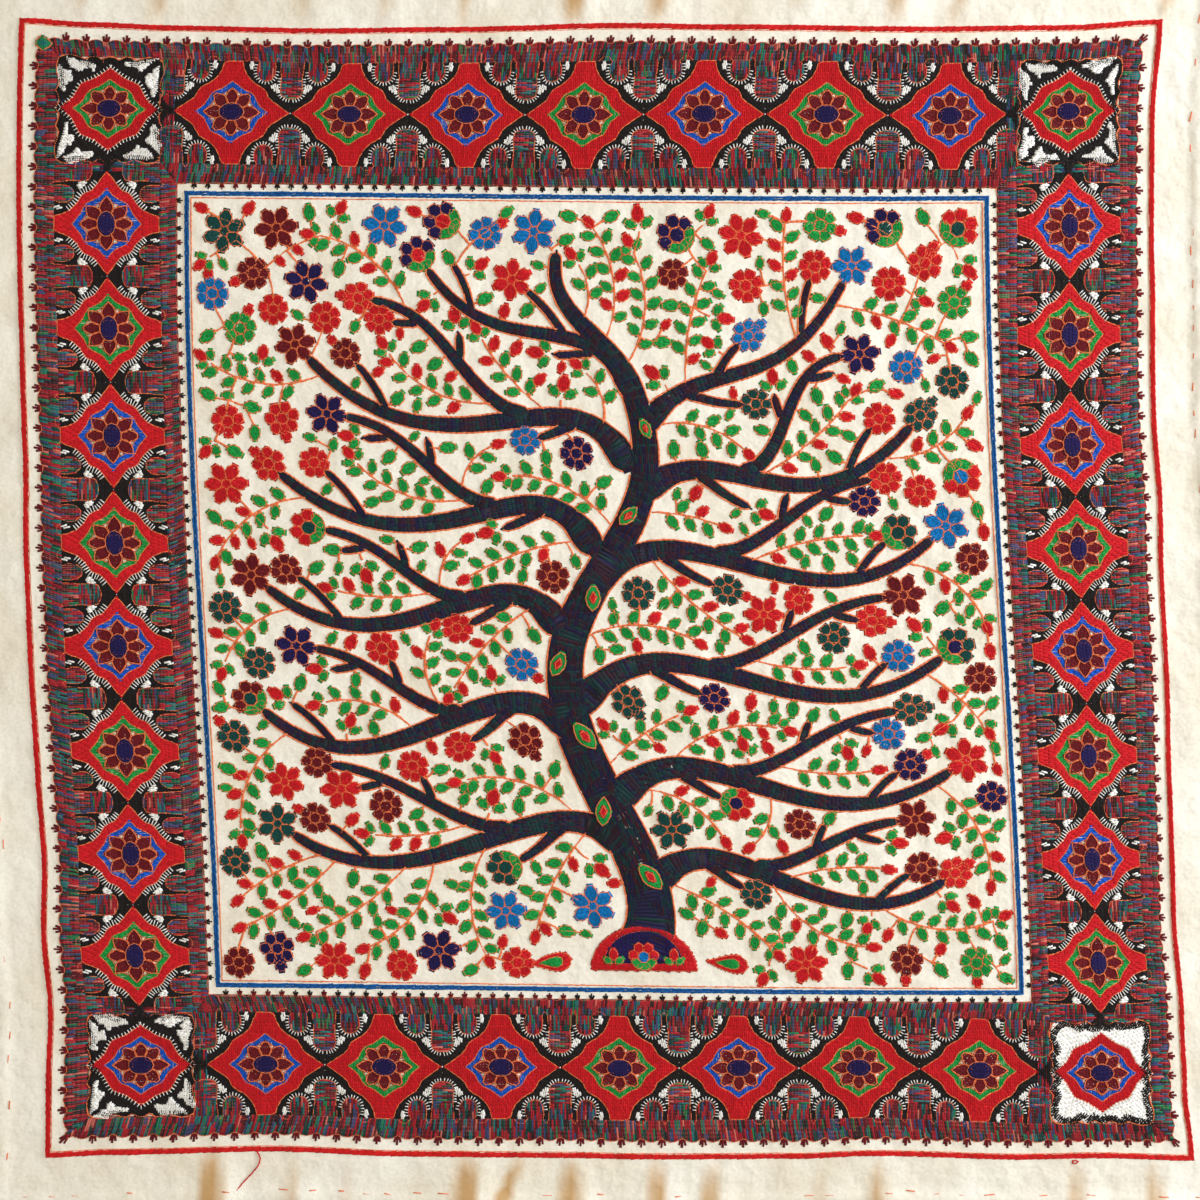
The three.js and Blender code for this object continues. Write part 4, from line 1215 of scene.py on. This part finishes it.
# petals and leaves of each kind of flower that heads along +X: outline, stitch angle, colour role
def drawFlowers():
    petal = teardrop(3.0, 16.5, 4.7, .95)
    shapes = {"star": [(turned(petal, k * math.tau / 6), k * math.tau / 6, 0) for k in range(6)]}
    shapes["star"].append((oval(3.7, 3.7, 10), 0, 0))
    around = lambda count, radius, size: [
        (moved(oval(size, size * .92, 10), radius * math.cos(a), radius * math.sin(a)), a, 0)
        for a in (k * math.tau / count for k in range(count))]
    shapes["cluster"] = around(7, 8.2, 4.2) + [(oval(4.2, 4.2, 10), 0, 0)]
    shapes["budded"] = shapes["cluster"] + [(moved(teardrop(0, 9, 3.7, .8), 10.5), 0, 2)]
    lumps = ((-9.5, -3.5), (-9.5, 4), (-3.5, -8.5), (-3.5, 8.5), (4, -6), (4, 6), (-2, 0), (5.5, 0))
    shapes["cone"] = [(moved(oval(4.3, 4, 10), x, y), 0, 0) for x, y in lumps]
    shapes["cone"].append((teardrop(7, 16, 4, .8), 0, 0))
    shapes["twoTone"] = [(moved(oval(4.9, 4.5, 12), 10 * math.cos(a), 10 * math.sin(a)), a, 0)
                         for a in np.radians((-80, -28, 28, 80))]
    shapes["twoTone"] += [(moved(oval(3.7, 6.6, 12), 9.2 * math.cos(a), 9.2 * math.sin(a), math.degrees(a)),
                           a + math.pi / 2, 1) for a in np.radians((134, 180, 226))]
    shapes["twoTone"].append((oval(5.4, 5.2, 12), math.pi / 2, 2))
    shapes["trio"] = [(teardrop(-1, 12.5, 4.4, .85), 0, 0),
                      (moved(teardrop(0, 10.5, 3.4, .9), -4.5, 2.2, 52), math.radians(52), 1),
                      (moved(teardrop(0, 10.5, 3.4, .9), -4.5, -2.2, -52), math.radians(-52), 1)]
    shapes["leaf"] = [(teardrop(-6.8, 6.8, 4.3, .88), 0, 0)]
    shapes["bud"] = [(teardrop(-6.5, 6.5, 4.2, .85), 0, 0)]
    return shapes


flowerShapes = drawFlowers()
flowerReach = {"star": 16.0, "twoTone": 15.0, "cone": 14.5, "budded": 14.5, "cluster": 12.6, "trio": 10.5,
               "leaf": 7.0, "bud": 6.8}
planted = {kind: [] for kind in flowerShapes}     # place, turn, scale and three colours of each


# notes a flower to be sewn
def plant(kind, place, turn, scale=1.0, colours=(0, 5, 0)):
    planted[kind].append((*place, turn, scale, *colours))


# pitch, stitch length, width, height, lift and turn of a petal's low first layer and of its upper one
petalLayers = ((3.4, 20, 4.0, .1, .35, math.pi / 2), (1.7, 7.5, 2.35, 1.0, 0, 0))


# one kind of flower at many places: its petals and leaves filled twice over, and an outline round each
def sewFlower(kind, places, turns, scales, colours, level=0.0):
    for ring, angle, role in flowerShapes[kind]:
        for pitch, length, width, height, lift, turn in petalLayers:
            a, b, _ = fillRings([ring], angle + turn, pitch, length)
            sew("flowers", copies(a, places, turns, scales), copies(b, places, turns, scales), width, height,
                np.repeat(colours[:, role], len(a)), level + lift)
        a, b = chain(ring + (ring - ring.mean(0)) * .07, field["petalStep"])
        sew("fieldOutlines", copies(a, places, turns, scales), copies(b, places, turns, scales),
            field["petalOutline"], .85, 0, level)


# all the flowers that are planted, a kind at a time
def sewFlowers():
    for kind, rows in planted.items():
        rows = np.array(rows, float)
        sewFlower(kind, rows[:, :2], rows[:, 2], rows[:, 3], rows[:, 4:])


# room left in the field: how far each spot of a grid is from everything claimed so far
def makeRoom():
    steps = np.arange(-field["half"] + 1.5, field["half"], field["roomStep"])
    x, y = np.meshgrid(steps, steps)
    spots = np.stack([x.ravel(), y.ravel()], 1)
    space = field["half"] - np.abs(spots).max(1)
    return {"spots": spots, "space": space, "side": len(steps), "first": steps[0]}


# takes discs out of the room that is left
def claim(room, points, radii):
    points = np.atleast_2d(points)
    radii = np.broadcast_to(radii, (len(points),))
    for k in range(0, len(points), 100):
        away = room["spots"][:, None] - points[None, k:k + 100]
        reach = np.hypot(away[..., 0], away[..., 1]) - radii[None, k:k + 100]
        room["space"] = np.minimum(room["space"], reach.min(1))


# the room left at points, less than none outside the field
def spaceAt(room, points):
    cell = np.rint((np.asarray(points) - room["first"]) / field["roomStep"]).astype(int)
    inside = ((cell >= 0) & (cell < room["side"])).all(-1)
    cell = cell.clip(0, room["side"] - 1)
    return np.where(inside, room["space"][cell[..., 1] * room["side"] + cell[..., 0]], -9.0)


stemPaths = []


# a stem: a quadratic curve, bowed to one side
def growStem(start, end, bow):
    way = np.subtract(end, start)
    middle = (np.add(start, end)) / 2 + np.array([-way[1], way[0]]) * bow
    points, _ = bezier((start, middle, end), 2.0)
    stemPaths.append(points)


# the three colours of a flower, drawn from those that its kind may have
def chooseColours(kind, rng):
    if kind in ("star", "cluster", "cone"):
        colour = rng.choice((0, 1, 2, 3, 4), p=(.34, .18, .16, .17, .15))
        return colour, 5, colour
    if kind == "budded":
        return rng.choice((1, 2, 3, 4, 5)), 5, 0
    if kind == "twoTone":
        return rng.choice((1, 2, 4, 0)), 5, rng.choice((0, 3, 2, 4))
    return (0, 5, 0) if kind != "leaf" else (5, 5, 5)


# plants the field: flowers at the ends of the wood, then leafy sprays, then whatever fits the gaps left
def plantField(wood):
    rng = np.random.default_rng(field["seed"])
    room = makeRoom()
    woodPoints = np.concatenate([path["points"] for path in wood])
    woodHalf = np.concatenate([path["half"] for path in wood])
    owner = np.concatenate([np.full(len(path["points"]), k) for k, path in enumerate(wood)])
    toEnd = np.concatenate([path["at"][-1] - path["at"] for path in wood])
    claim(room, [(20, -288), (-10, -296), (50, -296), (-50, -295), (90, -295)], [30, 20, 20, 16, 16])

    # a flower at the end of every limb and twig, as large as its place allows
    order = ("star", "twoTone", "cone", "cluster", "star", "budded", "twoTone", "cluster")
    heads, reaches = np.empty((0, 2)), np.empty(0)
    ends = [k for k, path in enumerate(wood) if not path["trunk"]]
    for n, k in enumerate(ends):
        path = wood[k]
        tip, heading = path["points"][-1], path["way"][-1]
        away = (owner != k) | (toEnd > 16)
        for kind in (order[n % len(order)], "cluster", "trio", "leaf"):
            scale = rng.uniform(.98, 1.12)
            reach = flowerReach[kind] * scale
            centre = tip + heading * (reach * .78)
            clear = (np.hypot(*(woodPoints[away] - centre).T) - woodHalf[away]).min()
            clear = min(clear, field["half"] - np.abs(centre).max())
            if len(heads):
                clear = min(clear, (np.hypot(*(heads - centre).T) - reaches).min())
            if clear > reach - 2.5:
                plant(kind, centre, math.atan2(heading[1], heading[0]), scale, chooseColours(kind, rng))
                heads, reaches = np.vstack([heads, centre]), np.append(reaches, reach)
                break
    claim(room, heads, reaches + 1.5)
    claim(room, woodPoints[::2], woodHalf[::2] + 1.0)

    # leafy sprays wherever a stem of that length finds room
    candidates = []
    for k, path in enumerate(wood):
        if path["at"][-1] < 100:
            continue
        for share in np.linspace(.06, .94, 24):
            i = int(share * (len(path["at"]) - 1))
            for side in (1, -1):
                for lean in (40, 65):
                    for bend in (-60, -25, 25, 60):
                        candidates.append((k, i, side, lean, bend))
    rng.shuffle(candidates)
    stemPoints = [woodPoints[::3]]
    for length in (92, 74, 58, 44):
        for k, i, side, lean, bend in candidates:
            path = wood[k]
            heading = math.atan2(path["way"][i][1], path["way"][i][0]) + math.radians(side * lean)
            s = np.linspace(0, length, 13)
            angle = heading + math.radians(bend) * s / length
            steps = np.stack([np.cos(angle), np.sin(angle)], 1) * (s[1] - s[0])
            outward = turned(path["way"][i], side * math.pi / 2)
            root = path["points"][i] + outward * path["half"][i] * .8
            line = root + np.concatenate([[[0, 0]], np.cumsum(steps[:-1], 0)])
            if spaceAt(room, line[4:]).min() < 9.2 or spaceAt(room, line[2:4]).min() < 4.6:
                continue
            stemPaths.append(line)
            stemPoints.append(line[1:])
            count = int((length - 14) / field["leafStep"])
            for j in range(count):
                at = 14 + (j + .2) * field["leafStep"]
                base = np.array([np.interp(at, s, line[:, 0]), np.interp(at, s, line[:, 1])])
                way = np.interp(at, s, angle) + math.radians(52) * (1 if j % 2 else -1)
                out = np.array([math.cos(way), math.sin(way)])
                kind = "bud" if rng.random() < .14 else "leaf"
                scale = rng.uniform(.84, 1.0)
                plant(kind, base + out * (3 + 6 * scale), way, scale, chooseColours(kind, rng))
                stemPaths.append(np.array([base, base + out * 4]))
            plant("trio" if rng.random() < .5 else "leaf", line[-1] + steps[-1] / np.hypot(*steps[-1]) * 6,
                  angle[-1], .9, (0, 5, 0))
            claim(room, line[1:], 10)
            claim(room, line[-1] + steps[-1] / np.hypot(*steps[-1]) * 6, 8.5)

    # what is left is filled from the widest gap down, each motif on a stalk from the nearest wood or stem
    anchors = np.concatenate(stemPoints)
    big = ("cluster", "star", "budded", "cone", "twoTone")
    for n in range(900):
        widest = int(room["space"].argmax())
        centre, space = room["spots"][widest] + rng.uniform(-.8, .8, 2), room["space"][widest]
        if space < 5.3:
            break
        if space > 15.5:
            kind = big[rng.integers(0, 5)]
        elif space > 13:
            kind = "cluster"
        elif space > 9.4:
            kind = "trio" if rng.random() < .7 else "leaf"
        else:
            kind = "leaf" if rng.random() < .72 else "bud"
        nearest = anchors[np.hypot(*(anchors - centre).T).argmin()]
        way = centre - nearest
        far = max(np.hypot(*way), .1)
        turn = math.atan2(way[1], way[0]) + rng.uniform(-.3, .3)
        scale = min(1.1, (space - .4) / flowerReach[kind])
        plant(kind, centre, turn, scale, chooseColours(kind, rng))
        claim(room, centre, flowerReach[kind] * scale + 1.4)
        if far < 70:
            base = centre - np.array([math.cos(turn), math.sin(turn)]) * flowerReach[kind] * scale * .7
            growStem(nearest, base, rng.uniform(-.14, .14))
            anchors = np.concatenate([anchors, stemPaths[-1][1:]])
    print("planted", {kind: len(rows) for kind, rows in planted.items()})


# the stems, but for the stretches that the wood hides
def sewStems(wood):
    starts, ends = [np.concatenate(part) for part in
                    zip(*[chain(path, field["stemStep"], closed=False) for path in stemPaths])]
    keep = ~insideWood((starts + ends) / 2, wood, .2)
    sew("stems", starts[keep], ends[keep], field["stemWidth"], .7)


mound = {
    "middle": 20.0, "foot": -303.0, "halfWidth": 42.0, "height": 36.0,
    "core": .74,         # the dark inside, as a share of the whole
    "flowers": ((20, -292, "twoTone", .82, (0, 5, 3)), (-4, -294, "trio", .75, (0, 5, 0)),
                (44, -294, "trio", .75, (0, 5, 0))),
    "paisleys": ((-52, 1, 150), (88, -1, 30)),       # place across, flip and turn
}


# a filled ring with a core of another colour
def sewRinged(ring, core, colours, places, turns, flips=1.0, level=0.0):
    for rings, colour in (([ring, core], colours[0]), ([core], colours[1])):
        sewFill("flowers", rings, math.radians(70), places, turns, flips, colour=colour, height=.9,
                level=level, under=True)
        sewEdges("fieldOutlines", rings[0], places, turns, flips=flips, width=field["petalOutline"])


# the mound that the trunk stands on, with a paisley on either side
def sewMound():
    t = np.linspace(0, math.pi, 16)
    dome = np.stack([mound["halfWidth"] * np.cos(t), mound["height"] * np.sin(t)], 1)
    dome += [mound["middle"], mound["foot"]]
    core = dome.mean(0) + (dome - dome.mean(0)) * mound["core"]
    sewRinged(dome, core, (0, 2), np.zeros((1, 2)), np.zeros(1), level=.35)
    for x, y, kind, scale, colours in mound["flowers"]:
        sewFlower(kind, np.array([(x, y)]), math.pi / 2, scale, np.array([colours]), .9)
    tail = teardrop(-13, 15, 8.5, .62, 16)
    paisley = np.stack([tail[:, 0], tail[:, 1] + .02 * (tail[:, 0] + 13) ** 2 - 4], 1)
    core = paisley.mean(0) + (paisley - paisley.mean(0)) * .6
    for x, flip, turn in mound["paisleys"]:
        sewRinged(paisley, core, (0, 5), np.array([(x, -297)]), np.array([math.radians(turn)]), flip)


hem = {"inset": 12.5, "stitch": 6.5, "gap": 21.0}


# the hem's sparse running stitch, and a loose end of the red yarn that lies over the foot margin
def sewHem():
    rng = np.random.default_rng(61)
    half = clothEdge - hem["inset"]
    a, b = squareChain(half, hem["gap"])
    way = (b - a) / hem["gap"]
    a = a + way * rng.uniform(0, 9, len(a))[:, None] + rng.normal(0, .8, a.shape)
    keep = rng.random(len(a)) < .75
    length = hem["stitch"] * rng.uniform(.6, 1.2, len(a))[:, None]
    sew("hemStitches", a[keep], (a + way * length + rng.normal(0, .7, a.shape))[keep], 1.3, .9)
    tail, _ = bezier(((-290, -459), (-279, -470), (-304, -481), (-309, -496)), 3)
    a, b = chain(tail, 3.2, closed=False)
    sew("outerLine", a, b, 1.3, 1.3, 0)
    a, b = chain(oval(2.6, 1.6, 8) + [362, -462], 2.4)
    sew("outerLine", a, b, 1.3, 1.3, 0)




# gives the strokes of the lobes and fingers the ground's colours, and drops those inside a corner field
def colourBrackets():
    rng = np.random.default_rng(5)
    for name in ("groundLobes", "groundFingers"):
        for k, (a, b, width, height, _, level) in enumerate(bank[name]):
            middles = (a + b) / 2
            keep = ~insideRing(np.abs(middles) - rowHalf, cornerField() * 1.02)
            colour = groundColours(middles, rng).astype(float)
            bank[name][k] = tuple(part[keep] for part in (a, b, width, height, colour, level))



pieces = (
    # piece, palette, slot, seed
    ("outerLine", ("lineRed", "orange"), "red_yarn", 31),
    ("innerLine", ("lineBlue", "orange"), "blue_yarn", 32),
    ("outerBuds", ("maroon",), "red_yarn", 33),
    ("innerBuds", ("maroon", "black"), "dark_yarn", 34),
    ("medallionRed", ("red",), "red_yarn", 35),
    ("blueRings", ("ringBlue",), "blue_yarn", 36),
    ("greenRings", ("green",), "green_yarn", 37),
    ("medallionPetals", ("maroon",), "red_yarn", 38),
    ("medallionHearts", ("navy",), "dark_yarn", 39),
    ("whiteGrounds", ("cream",), "white_yarn", 40),
    ("bracketBlacks", ("black",), "dark_yarn", 41),
    ("bracketWhites", ("white",), "white_yarn", 48),
    ("groundLobes", groundPalette, "border_yarn", 42),
    ("groundFingers", groundPalette, "border_yarn", 43),
    ("groundHead", groundPalette, "border_yarn", 44),
    ("groundLeft", groundPalette, "border_yarn", 45),
    ("groundFoot", groundPalette, "border_yarn", 46),
    ("groundRight", groundPalette, "border_yarn", 47),
    ("orangeOutlines", ("orange",), "orange_yarn", 49),
    ("gems", ("leafGreen", "teal"), "border_yarn", 55),
    ("groundUnder", ("dust",), "border_yarn", 56),
    ("hemStitches", ("orange",), "orange_yarn", 50),
    ("wood", ("bark", "pine", "ink", "umber"), "dark_yarn", 51),
    ("flowers", flowerPalette, "border_yarn", 52),
    ("fieldOutlines", ("orange",), "orange_yarn", 53),
    ("stems", ("orange",), "orange_yarn", 54),
)


makeCloth()
print("cloth laid")
sewLines()
sewBorder()
sewCorners()
sewHem()
colourBrackets()
print("border drawn")
wood = growWood()
sewWood(wood)
sewPatches(wood[0])
plantField(wood)
sewMound()
sewFlowers()
sewStems(wood)
print("field drawn")
total = 0
for name, palette, slotName, seed in pieces:
    made = makeStitches(name, palette, seed)
    total += len(made.data.polygons)
print("triangles in stitches", total)

studio = {
    "photoMiddle": (-5.5, -9.0),     # the photo's middle on the cloth, in plan millimetres
    "frameWide": 960.0,              # what the photo shows across, in millimetres
    "lens": 85.0,
    "floor": (236, 233, 226), "floorReach": 4.0, "floorDrop": .0006,
    # name, place, size, power and tint, all aimed at the cloth's middle
    "lamps": (("key", (2.4, .6, .95), .8, 76, (.9, .95, 1)),
              ("fill", (-1.6, -.8, 2.2), 2.4, 10, (1, .92, .8)),
              ("top", (.1, .3, 3.2), 2.2, 22, (1, .96, .9))),
    "world": (250, 243, 228), "worldStrength": .5,
}


# a plain floor, three soft lamps, and a camera straight above the middle of what the photo shows
def makeStudio():
    scene = bpy.context.scene
    x, y = (np.array(studio["photoMiddle"]) + middle) * mm
    camera = bpy.data.objects.new("camera", bpy.data.cameras.new("camera"))
    camera.data.lens = studio["lens"]
    camera.data.sensor_width = 36
    distance = studio["frameWide"] * mm * studio["lens"] / 36
    camera.location = (x, y, distance + .002)
    camera.data.clip_end = 20
    scene.collection.objects.link(camera)
    scene.camera = camera

    floorMesh = bpy.data.meshes.new("floor")
    reach = studio["floorReach"]
    corners = [(x * reach, y * reach, -studio["floorDrop"]) for x, y in ((-1, -1), (1, -1), (1, 1), (-1, 1))]
    floorMesh.from_pydata(corners, [], [(0, 1, 2, 3)])
    floor = bpy.data.objects.new("floor", floorMesh)
    paint = bpy.data.materials.new("paleFloor")
    paint.use_nodes = True
    coat = paint.node_tree.nodes["Principled BSDF"]
    coat.inputs["Base Color"].default_value = linear(studio["floor"])
    coat.inputs["Roughness"].default_value = .9
    floorMesh.materials.append(paint)
    scene.collection.objects.link(floor)

    for name, place, size, power, tint in studio["lamps"]:
        light = bpy.data.lights.new(name, "AREA")
        light.size = size
        light.energy = power
        light.color = tint
        lamp = bpy.data.objects.new(name, light)
        lamp.location = place
        aim = -np.array(place)
        lamp.rotation_euler = (math.atan2(math.hypot(aim[0], aim[1]), -aim[2]), 0,
                               math.atan2(aim[0], -aim[1]) + math.pi)
        scene.collection.objects.link(lamp)
    world = bpy.data.worlds.new("studio")
    world.use_nodes = True
    sky = world.node_tree.nodes["Background"]
    sky.inputs["Color"].default_value = linear(studio["world"])
    sky.inputs["Strength"].default_value = studio["worldStrength"]
    scene.world = world
    scene.view_settings.view_transform = "Standard"


makeStudio()
